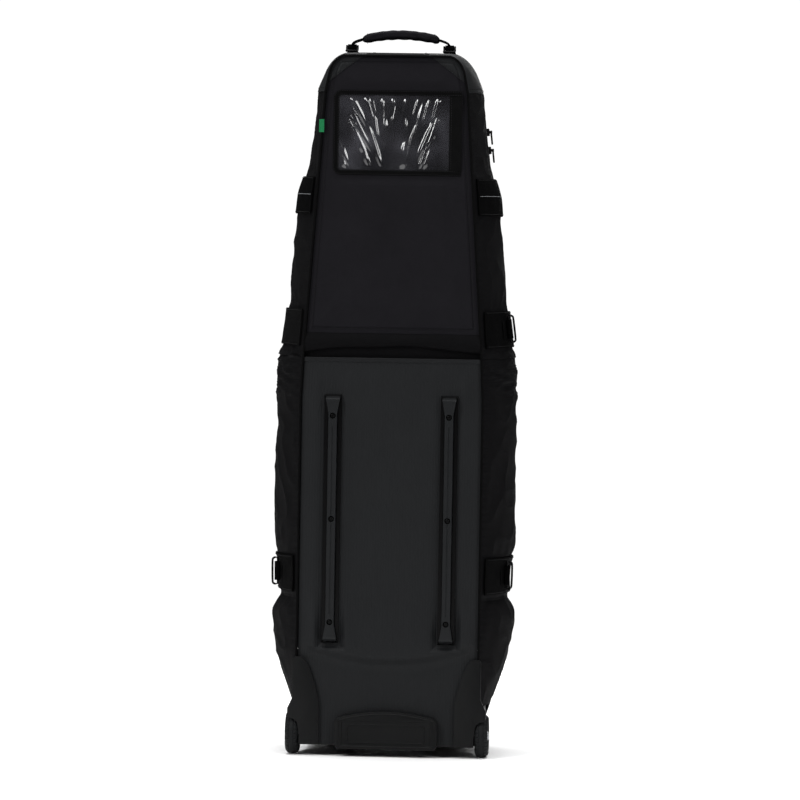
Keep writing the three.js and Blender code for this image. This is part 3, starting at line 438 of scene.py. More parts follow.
def tint(tree, principled, factor, dark, light):
    """Base colour between dark and light, following the factor."""
    values = {0: factor, 6: (*dark, 1), 7: (*light, 1)}
    blend = linked(tree, "ShaderNodeMix", values, data_type="RGBA")
    tree.links.new(blend.outputs[2], principled.inputs["Base Color"])


def scaled(color, factor):
    return tuple(c * factor for c in color)


def nylon(name, color, pitch=0.0011, roughness=0.78):
    """Plain woven cloth: warp and weft of one pitch, slightly uneven in tone."""
    material, tree, principled = shader(name, color, roughness, specular=0.05)
    x, y = metres(tree)
    weave = math_node(tree, "MULTIPLY", ridges(tree, x, pitch), ridges(tree, y, pitch))
    point = object_point(tree)
    fleck = noise(tree, point, 900, 2)
    height = math_node(tree, "ADD", weave, math_node(tree, "MULTIPLY", fleck, 0.6))
    add_bump(tree, principled, height, 0.55, 0.0004)
    tint(tree, principled, noise(tree, point, 14, 4), scaled(color, 0.82), scaled(color, 1.22))
    return material


def tarpaulin(name, color):
    """Coated cloth: a smooth film over faint upright ribs, with scuffs."""
    material, tree, principled = shader(name, color, 0.5)
    point = object_point(tree)
    x, _ = metres(tree)
    rib = math_node(tree, "POWER", ridges(tree, x, 0.0048), 2.0)
    grain = noise(tree, point, 1400, 2)
    height = math_node(tree, "ADD", rib, math_node(tree, "MULTIPLY", grain, 0.35))
    add_bump(tree, principled, height, 0.35, 0.0005)
    patch = noise(tree, point, 9, 5, 0.6)
    tint(tree, principled, patch, scaled(color, 0.86), scaled(color, 1.16))
    span = linked(tree, "ShaderNodeMapRange", {"Value": patch, "To Min": 0.42, "To Max": 0.6})
    tree.links.new(span.outputs[0], principled.inputs["Roughness"])
    return material


def strap_weave(name, color, across=0.0022, chevron=0.0):
    """Heavy webbing: ribs along it, broken by the weft. chevron slants the ribs to and fro."""
    material, tree, principled = shader(name, color, 0.8, specular=0.025)
    x, y = metres(tree)
    if chevron:
        fold = math_node(tree, "PINGPONG", y, chevron)
        x = math_node(tree, "ADD", x, fold)
    rib = ridges(tree, x, across)
    weft = ridges(tree, y, across * 0.8)
    height = math_node(tree, "ADD", rib, math_node(tree, "MULTIPLY", weft, 0.5))
    add_bump(tree, principled, height, 0.9, 0.0005)
    point = object_point(tree)
    tint(tree, principled, noise(tree, point, 60, 3), scaled(color, 0.8), scaled(color, 1.3))
    return material


def moulding(name, color, roughness=0.5, grain=0.25):
    """Moulded plastic or rubber with a fine spark-eroded texture and light scuffs."""
    material, tree, principled = shader(name, color, roughness)
    point = object_point(tree)
    fine = noise(tree, point, 1800, 2)
    add_bump(tree, principled, fine, grain, 0.0003)
    tint(tree, principled, noise(tree, point, 25, 5, 0.65), scaled(color, 0.8), scaled(color, 1.25))
    return material


def metal(name, color, roughness):
    material, tree, principled = shader(name, color, roughness, 1.0)
    point = object_point(tree)
    add_bump(tree, principled, noise(tree, point, 700, 3), 0.12, 0.0002)
    return material


def clear_vinyl(name):
    """Clear film, made nearly opaque and dark: it lets a little light through and mirrors the lamps on its
    wrinkles.
    """
    material, tree, principled = shader(name, (0.01, 0.01, 0.012), 0.09, specular=1.0)
    principled.inputs["Alpha"].default_value = 0.93
    point = object_point(tree)
    smear = math_node(tree, "POWER", noise(tree, point, 16, 2, 0.5), 3.0)
    tint(tree, principled, smear, (0.004, 0.004, 0.005), (0.12, 0.12, 0.14))
    material.surface_render_method = "BLENDED"
    return material


NYLON = nylon("nylon", (0.0028, 0.0027, 0.0031))
NYLON_PAD = nylon("nylon_padded", (0.0078, 0.0074, 0.0090), pitch=0.0014)
COATED = tarpaulin("coated", (0.0088, 0.0094, 0.0102))
WEBBING = strap_weave("webbing", (0.0012, 0.0012, 0.0013))
CHEVRON = strap_weave("chevron_webbing", (0.0036, 0.0036, 0.0037), 0.0026, 0.006)
TAPE = strap_weave("binding_tape", (0.0032, 0.0032, 0.0033), 0.0012)
MOULDED = moulding("moulded_plastic", (0.0044, 0.0046, 0.0048), 0.42)
RAIL_PLASTIC = moulding("rail_plastic", (0.0105, 0.0112, 0.0120), 0.38, 0.2)
# Black plastic for the handle brackets; on the rails the same black is painted shade.
BLACK_PLASTIC_AND_RAIL_SHADE = moulding("black_plastic_and_rail_shade", (0.0025, 0.0025, 0.0027), 0.30, 0.1)
RUBBER = moulding("tyre_rubber", (0.0062, 0.0068, 0.0073), 0.55, 0.4)
PULL_RUBBER = moulding("pull_rubber", (0.0055, 0.0055, 0.0055), 0.55, 0.3)
STEEL = metal("steel", (0.42, 0.43, 0.45), 0.32)
BLACK_STEEL = moulding("black_steel", (0.0016, 0.0016, 0.0018), 0.40, 0.08)
VINYL = clear_vinyl("clear_vinyl")
THREAD = moulding("thread", (0.0085, 0.0085, 0.0092), 0.6, 0.1)
PALE_THREAD = moulding("pale_thread", (0.26, 0.27, 0.28), 0.7, 0.1)
GREEN = nylon("green_ribbon", (0.014, 0.150, 0.055), 0.0008)
BOARD = moulding("board", (0.012, 0.013, 0.014), 0.55)


# ---- Stitching ----
def stitches(name, line, out, length=0.003, gap=0.0012, width=0.0007, material=THREAD, body="shell"):
    """Short rounded stitches along a line of points, lying on the side that out points to."""
    line = np.asarray(line, float)
    out = np.broadcast_to(out, line.shape)
    at = distances(line)
    count = int(at[-1] / (length + gap))
    middle = (np.arange(count) + 0.5) * at[-1] / max(count, 1)
    centre, normal = sampled(line, at, middle), unit(sampled(out, at, middle))
    along = unit(sampled(line, at, middle + length / 2) - sampled(line, at, middle - length / 2))
    across = unit(np.cross(normal, along))
    levels = ((-1, 0, 1), (-0.6, 1, 0.6), (0.6, 1, 0.6), (1, 0, 1))
    corners = [
        centre + along * (a * length / 2) + across * (b * half * width / 2) + normal * (c * width * 0.55)
        for a, c, half in levels
        for b in (-1, 1)
    ]
    vertices = np.stack(corners, axis=1).reshape(-1, 3)
    cell = [(0, 1, 3, 2), (2, 3, 5, 4), (4, 5, 7, 6), (0, 2, 4, 6), (1, 7, 5, 3), (0, 6, 7, 1)]
    faces = [[k + 8 * i for k in face] for i in range(count) for face in cell]
    fitted(new_object(name, vertices, faces, material, smooth_angle=60), body, "webbing")


def sew(name, line, out, side, material=THREAD):
    """Stitches drawn for the right side, mirrored for the left."""
    mirror = np.array([side, 1, 1])
    stitches(name, line * mirror, out * mirror, 0.0034, 0.0014, 0.0008, material)


# ---- Cloth walls of the gussets ----
def fine_levels(low, high, step, *exact):
    """Even levels with the exact ones among them."""
    marks = [low, *[e for e in sorted(exact) if low < e < high], high]
    counts = [max(2, int(round((b - a) / step)) + 1) for a, b in zip(marks, marks[1:])]
    parts = [np.linspace(a, b, n)[:-1] for a, b, n in zip(marks, marks[1:], counts)]
    return np.concatenate([*parts, [high]])


def gusset_folds(z, v, seed):
    """How far loose cloth stands off the smooth wall, in metres."""
    lateral = v * GUSSET_DEPTH
    free = smooth(0, 0.12, v) * smooth(1, 0.9, v)
    slant = creases(lateral / 0.085 + z / 0.17, z / 0.060 - lateral / 0.10, seed) - 0.3
    slow = gradient_noise(lateral / 0.12, z / 0.11, seed + 1)
    folds = free * (0.0030 * slant + 0.0028 * slow)
    for centre, reach in ((BASE_STRAP_Z, 0.055), (WAIST_STRAP_Z, 0.075)):
        distance = np.maximum(np.abs(z - centre) - STRAP_HALF, 0)
        gather = np.exp(-distance / reach * 2.2) * smooth(0, 0.006, distance)
        folds = folds + free * 0.0026 * gather * gradient_noise(lateral / 0.024, z / 0.12, seed + 2)
    crumple = smooth(0.615, 0.665, z) * smooth(0.732, 0.712, z)
    folds = folds + free * 0.0050 * crumple * (creases(lateral / 0.10, z / 0.022, seed + 3) - 0.25)
    gather_at = np.exp(-(((z - 0.286) / 0.011) ** 2))
    bulge_at = np.exp(-(((z - 0.252) / 0.024) ** 2))
    folds = folds + free * (0.0028 * bulge_at - 0.0044 * gather_at)
    flat = np.ones_like(z)
    for centre in (BASE_STRAP_Z, WAIST_STRAP_Z, HIGH_STRAP_Z):
        flat = flat * smooth(STRAP_HALF - 0.002, STRAP_HALF + 0.012, np.abs(z - centre))
    pucker = 0.0007 * np.exp(-lateral / 0.008) * np.sin(2 * np.pi * z / 0.013)
    return (folds - 0.0012 * free) * flat + pucker * flat


def gusset_grid(z0, z1, seed):
    """A gusset's folded face between two levels, and the height on the smooth wall of each point."""
    exact_v = (WELL_Y - BACK_Y) / GUSSET_DEPTH
    z = fine_levels(z0, z1, 0.0045, WELL_TOP)
    v = fine_levels(0, 1 - ZIP_GAP / GUSSET_DEPTH_SHOULDER, 0.022, exact_v)
    zz, vv = np.meshgrid(z, v, indexing="ij")
    points = wall(seam_length(zz), vv)
    folds = gusset_folds(zz, vv, seed)[..., None]
    return points + grid_normals(points) * folds, zz


def gussets():
    for side, word in SIDES:
        seed = 11 if side == RIGHT else 47
        points, zz = gusset_grid(FLOOR_Z + 0.003, WAIST_Z, seed)
        middle_z = (zz[1:, 1:] + zz[:-1, :-1]) / 2
        middle_y = (points[1:, 1:, 1] + points[:-1, :-1, 1]) / 2
        keep = (middle_z > WELL_TOP) | (middle_y > WELL_Y)
        lower = cloth_sheet(f"gusset_cloth_lower_{word}", points, CLOTH, NYLON, keep, side == LEFT)
        fitted(lower, "shell", "cloth", f"gusset_lower_{word}")
        points, _ = gusset_grid(WAIST_Z + 0.0004, SHOULDER_Z, seed + 5)
        upper = cloth_sheet(f"gusset_cloth_upper_{word}", points, CLOTH, NYLON, mirror=side == LEFT)
        fitted(upper, "shell", "cloth", f"gusset_upper_{word}")


def shoulders():
    """Coated patches over the top corners, and the cloth panel between them."""
    v = np.linspace(0, 1 - ZIP_GAP / GUSSET_DEPTH_SHOULDER, 44)
    start = seam_length(SHOULDER_Z) + 0.0004
    patch_end = SEAM_LENGTH - TOP_HALF - TOP_CLOTH_HALF
    l = np.linspace(start, patch_end, 40)
    ll, vv = np.meshgrid(l, v, indexing="ij")
    points = wall(ll, vv)
    soft = 0.0012 * gradient_noise(ll / 0.05, vv * 4, 5) * np.sin(np.pi * vv)
    points = points + grid_normals(points) * soft[..., None]
    for side, word in SIDES:
        patch = cloth_sheet(f"shoulder_patch_{word}", points, CLOTH, COATED, mirror=side == LEFT)
        fitted(patch, "shell", "coated", f"corner_patch_{word}")
        line = wall(l[2] * np.ones(60), np.linspace(0.02, 0.97, 60))
        out = grid_normals(wall(ll, vv))[2, :1].mean(axis=0)
        sew(f"shoulder_stitch_{word}", line + out * 0.0006, out, side)
    l = np.linspace(patch_end + 0.0004, SEAM_LENGTH - TOP_HALF + TOP_CLOTH_HALF - 0.0004, 26)
    ll, vv = np.meshgrid(l, v, indexing="ij")
    points = wall(ll, vv)
    top = cloth_sheet("top_cloth", points, CLOTH, NYLON)
    fitted(top, "shell", "cloth", "top_panel")
    for i, end in enumerate((2, -3)):
        line = points[end][2:-2] + (0, 0, 0.0004)
        stitches(f"top_stitch_{i + 1}", line, (0, 0, 1), 0.0032)


# ---- Side straps ----
def strap_grid(z_middle):
    """Outer face of a webbing patch: its edges are thinner and its middle is a little uneven."""
    z = np.linspace(z_middle - STRAP_HALF, z_middle + STRAP_HALF, 26)
    v = np.linspace(STRAP_BACK, STRAP_FRONT, 44)
    zz, vv = np.meshgrid(z, v, indexing="ij")
    points = wall(seam_length(zz), vv)
    edge = np.minimum(zz - z[0], z[-1] - zz)
    ripple = gradient_noise(vv * 9, zz / 0.03, int(z_middle * 1000))
    lift = STRAP_LIFT + STRAP_THICK + 0.0006 * smooth(0, 0.003, edge) + 0.0007 * ripple
    return points + grid_normals(points) * lift[..., None]


def strap_stitching(name, points, side, rows, material=THREAD):
    normals = grid_normals(points)
    for i, row in enumerate(rows):
        line = points[row, 1:-1] + normals[row, 1:-1] * 0.0003
        sew(f"{name}_{i + 1}", line, normals[row, 1:-1], side, material)


def straps():
    """Three webbing patches a side: a pale line on the high ones, a chevron weave on the left waist."""
    patches = (
        (HIGH_STRAP_Z, "band", "stripe_band"),
        (WAIST_STRAP_Z, "waist", "waist_strap"),
        (BASE_STRAP_Z, "base", "base_strap"),
    )
    for side, word in SIDES:
        for z, part, node in patches:
            points = strap_grid(z)
            weave = CHEVRON if part == "waist" and side == LEFT else WEBBING
            strap = cloth_sheet(f"{part}_webbing_{word}", points, STRAP_THICK, weave, mirror=side == LEFT)
            fitted(strap, "shell", "webbing", f"{node}_{word}")
            strap_stitching(f"{part}_edge_stitch_{word}", points, side, (1, 24))
            if part == "band":
                strap_stitching(f"band_pale_stitch_{word}", points, side, (13,), PALE_THREAD)
    keepers()


def keepers():
    """The loop of webbing that holds each ring, wrapped round its bar."""
    places = (
        (BASE_STRAP_Z, RIGHT, "ring_keeper_base_right"),
        (BASE_STRAP_Z, LEFT, "ring_keeper_base_left"),
        (WAIST_STRAP_Z, RIGHT, "ring_keeper_waist"),
    )
    for z, side, name in places:
        l = seam_length(z)
        up = unit(wall(l + 0.001, RING_SHARE) - wall(l - 0.001, RING_SHARE))
        ahead = unit(wall(l, RING_SHARE + 0.01) - wall(l, RING_SHARE - 0.01))
        out = unit(np.cross(ahead, up))
        ahead = np.cross(up, out)
        bar = wall(l, RING_SHARE) + out * (STRAP_LIFT + STRAP_THICK + 0.0043)
        turn = np.linspace(math.radians(-205), math.radians(25), 22)
        radius = 0.0049
        loop = [ahead * math.cos(t) * -radius + out * math.sin(-t) * radius for t in turn]
        tail_out = STRAP_LIFT + STRAP_THICK + 0.0012 - 0.008
        tail = [ahead * (0.006 + 0.004 * k) + out * (tail_out - 0.0006) for k in range(5)]
        other = [-ahead * (0.026 - 0.004 * k) + out * (tail_out - 0.0006) for k in range(6)]
        section = np.array(other + loop + tail)
        length = np.linspace(-0.017, 0.017, 16)
        points = bar + section[None] + up[None, None] * length[:, None, None]
        keeper = cloth_sheet(name, points, 0.0012, WEBBING, mirror=side == LEFT)
        fitted(keeper, "shell", "webbing")


# ---- Camera, floor and light ----
def camera():
    """A long lens a little to the right of the back, turned slightly about its axis."""
    azimuth, elevation, roll = math.radians(3.8), math.radians(1.0), math.radians(0.95)
    distance = 8.11
    data = bpy.data.cameras.new("camera")
    data.lens = 200
    data.sensor_width = 36
    obj = added("camera", data)
    target = Vector((0.0035, 0, 0.6357))
    level = math.cos(elevation)
    toward = Vector((math.sin(azimuth) * level, -math.cos(azimuth) * level, math.sin(elevation)))
    obj.location = target + toward * distance
    turn = toward.to_track_quat("Z", "Y") @ Quaternion((0, 0, 1), roll)
    obj.rotation_euler = turn.to_euler()
    bpy.context.scene.camera = obj


def softbox(name, place, target, size, power):
    data = bpy.data.lights.new(name, "AREA")
    data.shape = "RECTANGLE"
    data.size, data.size_y = size
    data.energy = power
    obj = added(name, data)
    obj.location = place
    toward = obj.location - Vector(target)
    obj.rotation_euler = toward.to_track_quat("Z", "Y").to_euler()
    return obj


def studio():
    """White room with large softboxes, shown without a film curve so that black cloth stays black."""
    bpy.context.scene.view_settings.view_transform = "Standard"
    world = bpy.data.worlds.new("studio")
    bpy.context.scene.world = world
    world.use_nodes = True
    tree = world.node_tree
    background = tree.nodes["Background"]
    background.inputs["Color"].default_value = (1, 1, 1, 1)
    seen = linked(tree, "ShaderNodeLightPath").outputs["Is Camera Ray"]
    strength = linked(tree, "ShaderNodeMapRange", {"Value": seen, "To Min": 0.07, "To Max": 1.05})
    tree.links.new(strength.outputs[0], background.inputs["Strength"])
    material, _, _ = shader("paper", (0.93, 0.93, 0.93), 0.9)
    corners = [(-2.5, -3, 0), (2.5, -3, 0), (2.5, 2.2, 0), (-2.5, 2.2, 0)]
    floor = new_object("floor", corners, [(0, 1, 2, 3)], material)
    lights = [
        softbox("key", (-2.2, -3.0, 2.9), (0, 0, 0.95), (1.0, 2.2), 95),
        softbox("fill", (2.6, -2.8, 2.5), (0, 0, 0.95), (0.8, 2.2), 48),
        softbox("overhead", (0, 0.7, 4.0), (0, 0.7, 0), (4.5, 5.0), 310),
        softbox("front_fill", (0, 3.6, 1.0), (0, 0, 0.6), (1.6, 1.6), 40),
    ]


# ---- Swept and turned pieces ----
def grid_faces(rows, columns, close_rows, close_columns):
    index = np.arange(rows * columns).reshape(rows, columns)
    if close_rows:
        index = np.vstack([index, index[:1]])
    if close_columns:
        index = np.hstack([index, index[:, :1]])
    a, b, c, d = index[:-1, :-1], index[:-1, 1:], index[1:, 1:], index[1:, :-1]
    return np.stack([a, b, c, d], axis=-1).reshape(-1, 4)


def swept(name, points, across, out, section, material, closed=False, angle=50):
    """A strip along a line. Its section is (across, out) pairs, the same everywhere or listed by point."""
    points = np.asarray(points, float)
    across = np.broadcast_to(across, points.shape)
    out = np.broadcast_to(out, points.shape)
    section = np.asarray(section, float)
    if section.ndim == 2:
        section = np.broadcast_to(section, (len(points), *section.shape))
    rings = points[:, None] + across[:, None] * section[..., :1] + out[:, None] * section[..., 1:]
    rows, columns = rings.shape[:2]
    faces = [tuple(f) for f in grid_faces(rows, columns, closed, True)]
    if not closed:
        faces += [tuple(range(columns))[::-1], tuple((rows - 1) * columns + k for k in range(columns))]
    uv = np.stack(np.meshgrid(distances(section[0]), distances(points)), axis=-1).reshape(-1, 2)
    return outward(new_object(name, rings.reshape(-1, 3), faces, material, uv, angle))


def side_frames(points, up):
    """The directions across and out of a line whose outward side is nearest to up."""
    points = np.asarray(points, float)
    along = unit(np.gradient(points, axis=0))
    up = np.broadcast_to(up, points.shape)
    across = unit(np.cross(along, up))
    return across, unit(np.cross(across, along))


def tube(name, points, radius, material):
    across, out = side_frames(points, BACK)
    turn = np.linspace(0, 2 * np.pi, 10, endpoint=False)
    section = radius * np.stack([np.cos(turn), np.sin(turn)], axis=1)
    return swept(name, points, across, out, section, material, angle=80)


def tape_section(width, height):
    """A bound edge: flat behind, rolled over in front."""
    half = width / 2
    front = [(half, 0), (half, height * 0.55), (half - height * 0.5, height), (half * 0.3, height * 0.93)]
    return [*front, *[(-a, b) for a, b in front[::-1]]]


def turned(name, rings, material, angle=40):
    """A closed ring about the X axis. rings[i] lists (radius, x) round the section at the i-th turn."""
    rings = np.asarray(rings, float)
    count = len(rings)
    turn = np.linspace(0, 2 * np.pi, count, endpoint=False)[:, None]
    radius, x = rings[..., 0], rings[..., 1]
    points = np.stack([x, radius * np.cos(turn), radius * np.sin(turn)], axis=-1)
    faces = grid_faces(*rings.shape[:2], True, True)
    return outward(new_object(name, points.reshape(-1, 3), faces, material, None, angle))


def moved(obj, place):
    for vertex in obj.data.vertices:
        vertex.co += Vector(place)
    return obj


def softened(node, body, slot, material, width=0.001, segments=2):
    """The node's own shape with its edges rounded over."""
    obj = added(f"{node}_finished", frame["nodes"][node].data.copy())
    one_material(obj.data, material)
    flatten = lambda bm: bmesh.ops.dissolve_limit(
        bm, angle_limit=math.radians(2), verts=bm.verts, edges=bm.edges
    )
    reworked(obj.data, merged(1e-5), flatten)
    bevel = obj.modifiers.new("edges", "BEVEL")
    bevel.width = width
    bevel.segments = segments
    bevel.limit_method = "ANGLE"
    bevel.angle_limit = math.radians(38)
    bevel.harden_normals = True
    apply_modifiers(obj)
    shade(obj, 42)
    return fitted(obj, body, slot, node)


def one_material(mesh, material):
    mesh.materials.clear()
    mesh.materials.append(material)


def apply_modifiers(obj):
    with bpy.context.temp_override(object=obj, active_object=obj, selected_objects=[obj]):
        for modifier in list(obj.modifiers):
            bpy.ops.object.modifier_apply(modifier=modifier.name)


def carve(obj, cutter):
    """Cuts one closed piece out of another, which keeps its one material."""
    material = obj.data.materials[0]
    boolean = obj.modifiers.new("cut", "BOOLEAN")
    boolean.object = cutter
    boolean.solver = "MANIFOLD"
    apply_modifiers(obj)
    one_material(obj.data, material)
    bpy.data.objects.remove(cutter)


# ---- Back panels ----
def inset_half(z):
    """Half width of a back panel inside the gussets."""
    l = np.linspace(0, CORNER_LENGTH, 400)
    line = seam_xz(l) - seam_out(l) * PANEL_INSET
    order = np.argsort(line[:, 1])
    return np.interp(z, line[order, 1], line[order, 0])


def back_grid(z, columns):
    """Columns of x evenly across the panel at each level of z."""
    x = inset_half(z)[:, None] * np.linspace(-1, 1, columns)
    return x, np.broadcast_to(z[:, None], x.shape)


def lower_panel_face(x, z):
    """Depth of the coated lower panel: it turns in below a sagging line above the base."""
    sag = 0.165 + 0.034 * (x / BASE_HALF) ** 2
    tuck = 0.0018 * smooth(-0.002, 0.016, sag - z)
    wrinkle = 0.0004 * (1 + gradient_noise(x / 0.07, z / 0.10, 3))
    wrinkle = wrinkle * smooth(0.02, 0.06, BASE_HALF - np.abs(x))
    clear_of_rail = smooth(0.016, 0.030, np.abs(np.abs(x) - RAIL_X))
    clear_of_rail = np.maximum(clear_of_rail, smooth(RAIL_BOTTOM - 0.002, RAIL_BOTTOM - 0.012, z))
    to_side = inset_half(z) - np.abs(x)
    over_tuck = smooth(-0.004, 0.014, z - sag) * smooth(0.120, 0.016, z - sag)
    held = smooth(0, 0.030, to_side) * smooth(0, 0.050, WAIST_Z - z)
    full = (0.0016 * smooth(-0.010, 0.040, z - sag) + 0.0090 * over_tuck) * clear_of_rail * held
    edge = 0.0012 * smooth(0.007, 0.0, to_side)
    return BACK_Y + 0.0004 + tuck + wrinkle * clear_of_rail + edge - full


def lower_panel():
    z = fine_levels(FLOOR_Z + 0.001, WAIST_Z, 0.004, CUP_TOP, WELL_TOP)
    x, zz = back_grid(z, 96)
    points = placed(x, lower_panel_face(x, zz), zz)
    middle = (points[1:, 1:] + points[:-1, :-1]) / 2
    cup = (np.abs(middle[..., 0]) < CUP_HALF) & (middle[..., 2] < CUP_TOP)
    well = (np.abs(middle[..., 0]) > WELL_INNER) & (middle[..., 2] < WELL_TOP)
    panel = cloth_sheet("lower_back_cloth", points, 0.002, COATED, ~(cup | well))
    fitted(panel, "shell", "coated", "back_panel_lower")
    hem_x = np.linspace(-inset_half(WAIST_Z), inset_half(WAIST_Z), 90)
    hem = placed(hem_x, BACK_Y + 0.0006, WAIST_Z - 0.0040)
    strip = swept("lower_back_hem", hem, (0, 0, -1), BACK, tape_section(0.008, 0.0011), COATED)
    fitted(strip, "shell", "coated")
    for i, drop in enumerate((0.0022, 0.0062)):
        line = hem[2:-2] + (0, -0.0011, 0.0040 - drop)
        stitches(f"lower_hem_stitch_{i + 1}", line, BACK)
    for side, word in SIDES:
        levels = np.linspace(0.19, WAIST_Z - 0.010, 160)
        edge = inset_half(levels) - 0.0045
        line = placed(edge, lower_panel_face(edge, levels), levels)
        sew(f"lower_side_stitch_{word}", line, BACK, side)


def waist_fold():
    """Loose cloth between the pad and the coated panel: a bulge, then an arched tuck into shadow."""
    fold = 0.45
    across = np.linspace(-1, 1, 90)
    u = np.linspace(0, 1, 34)[:, None]
    after = (u - fold) / (1 - fold)
    arch = 0.7335 - 0.0115 * across[None, :] ** 2 + 0.0012 * np.sin(across * 7)[None, :]
    below = WAIST_Z + 0.0004
    z = np.where(u < fold, mix(below, arch, u / fold), mix(arch, PAD_Z, after))
    swollen = np.sin(np.pi * np.clip(after, 0, 1)) ** 0.7
    ripple = gradient_noise(across * 5 + 3, u * 2.5, 8)
    loose = 0.0020 - 0.0058 * swollen + 0.0008 * ripple
    loose = np.where(u < fold + 0.02, 0.0075, loose)
    lip = np.maximum(0.0085 * smooth(0.52, 0.42, u) - 0.0005, 0.0070)
    half = inset_half(mix(below, arch, smooth(0.0, fold, u)))
    y = BACK_Y + np.where(u < fold, lip, loose)
    points = placed(across * half, y, z)
    band = cloth_sheet("waist_fold_cloth", points, 0.0012, NYLON)
    fitted(band, "shell", "cloth", "waist_band")


def window_mask(x, z, margin):
    """1 under the label window and its rim, 0 away from it."""
    beside = np.abs(x - WINDOW["x"]) - WINDOW["width"] / 2
    above = np.abs(z - WINDOW["z"]) - WINDOW["height"] / 2
    return smooth(margin, 0.003, np.maximum(beside, above))


def pad_face(x, z):
    """Depth of the padded upper panel, raised inside a stitched channel near its edge."""
    to_side = inset_half(z) - np.abs(x)
    to_edge = np.minimum(np.minimum(to_side, z - PAD_Z), PAD_TOP_Z - z)
    rim = 0.0026 * smooth(0.0135, 0.0060, to_edge)
    channel = 0.0010 * np.exp(-(((to_edge - 0.0080) / 0.0016) ** 2))
    full = smooth(0.010, 0.055, to_edge) * (1 - window_mask(x, z, 0.020))
    slack = 0.0011 * gradient_noise(x / 0.055, z / 0.075, 21)
    slack = slack + 0.0007 * gradient_noise(x / 0.02, z / 0.05, 22)
    puff = full * (0.0032 + slack)
    return BACK_Y + rim + channel - puff


def upper_panel():
    z = fine_levels(PAD_Z, PAD_TOP_Z, 0.0035, PAD_Z + 0.004, PAD_Z + 0.008, PAD_Z + 0.012)
    x, zz = back_grid(z, 110)
    panel = cloth_sheet("upper_back_pad", placed(x, pad_face(x, zz), zz), 0.008, NYLON_PAD)
    fitted(panel, "shell", "cloth", "back_panel_upper")
    levels = np.linspace(PAD_Z + 0.010, 1.20, 150)
    for side, word in SIDES:
        edge = inset_half(levels) - 0.0080
        line = placed(edge, pad_face(edge, levels) - 0.0002, levels)
        sew(f"pad_stitch_{word}", line, BACK, side)
    across = np.linspace(-0.145, 0.145, 80)
    low = PAD_Z + 0.0080
    line = placed(across, pad_face(across, low) - 0.0002, low)
    stitches("pad_stitch_low", line, BACK, 0.0034, 0.0014, 0.0008)


def corner_facings():
    """Coated triangles over the top corners of the pad, each with two rows of stitching."""
    low_z, top_x = 1.206, 0.064
    t = np.linspace(0, 1, 36)[:, None]
    s = np.linspace(0, 1, 22)[None, :]
    start = np.array([inset_half(low_z), low_z])
    end = np.array([top_x, PAD_TOP_Z])
    up_side = np.linspace(seam_length(low_z), CORNER_LENGTH, 26)
    along_top = np.linspace(CORNER_LENGTH, CORNER_LENGTH + TOP_HALF - top_x, 11)
    l = np.concatenate([up_side, along_top[1:]])
    rim = seam_xz(l) - seam_out(l) * PANEL_INSET
    diagonal = start + (end - start) * t
    x = diagonal[:, :1] + (rim[:, :1] - diagonal[:, :1]) * s
    z = diagonal[:, 1:] + (rim[:, 1:] - diagonal[:, 1:]) * s
    points = placed(x, pad_face(x, z) - 0.0012, z)
    for side, word in SIDES:
        facing = cloth_sheet(f"corner_facing_{word}", points, 0.0009, COATED, mirror=side == LEFT)
        fitted(facing, "shell", "coated")
        for i, column in enumerate((1, 4)):
            line = points[1:-2, column] + BACK * 0.0002
            sew(f"corner_facing_stitch_{word}_{i + 1}", line, BACK, side)


def piping():
    l = np.linspace(seam_length(0.179), SEAM_LENGTH - TOP_HALF, 150)
    line = seam_xz(l) - seam_out(l) * 0.0017
    right = placed(line[:, 0], BACK_Y - 0.0020, line[:, 1])
    whole = np.vstack([right, right[-2::-1] * (-1, 1, 1)])
    fitted(tube("seam_cord", whole, 0.0021, TAPE), "shell", "webbing", "seam_piping")


# ---- Label window ----
def film_folds(x, z):
    """Long sharp folds in clear film, fanning out upwards from below the window."""
    height = np.zeros_like(x)
    for _ in range(FILM_FOLDS):
        x0 = WINDOW["x"] + rng.uniform(-0.105, 0.085)
        z0 = WINDOW["z"] + rng.uniform(-0.060, 0.060)
        lean = (x0 - WINDOW["x"]) / 0.19 + rng.uniform(-0.16, 0.16)
        length, width = rng.uniform(0.050, 0.135), rng.uniform(0.0026, 0.0062)
        bow = rng.uniform(-1.5, 1.5) * (z - z0) ** 2
        taper = smooth(1.0, 0.25, np.abs(z - z0) / length * 2)
        across = (x - x0 - lean * (z - z0) - bow) / (width * (0.45 + 0.55 * taper))
        height = np.maximum(height, taper * rng.uniform(0.46, 0.66) * width * np.exp(-(across**2)))
    return height


def label_window():
    band = WINDOW["band"]
    low, high = WINDOW_LOW + band, WINDOW_HIGH - band
    closure_x = WINDOW_RIGHT - WINDOW["closure"]
    window_film(WINDOW_LEFT + band, closure_x, low, high)
    window_binding(band)
    window_closure(closure_x, low, high)


def window_film(x0, x1, z0, z1):
    x, z = np.meshgrid(np.linspace(x0 - 0.001, x1, 330), np.linspace(z0 - 0.001, z1 + 0.001, 130))
    held = smooth(0, 0.012, np.minimum(np.minimum(x - x0, x1 - x), np.minimum(z - z0, z1 - z)))
    wave = gradient_noise(x / 0.06, z / 0.05, 32)
    y = BACK_Y - 0.0008 - held * (film_folds(x, z) + 0.0003 * (1 + wave))
    film = cloth_sheet("window_film", placed(x, y, z), 0.0003, VINYL)
    fitted(film, "shell", "vinyl", "window_sheet")


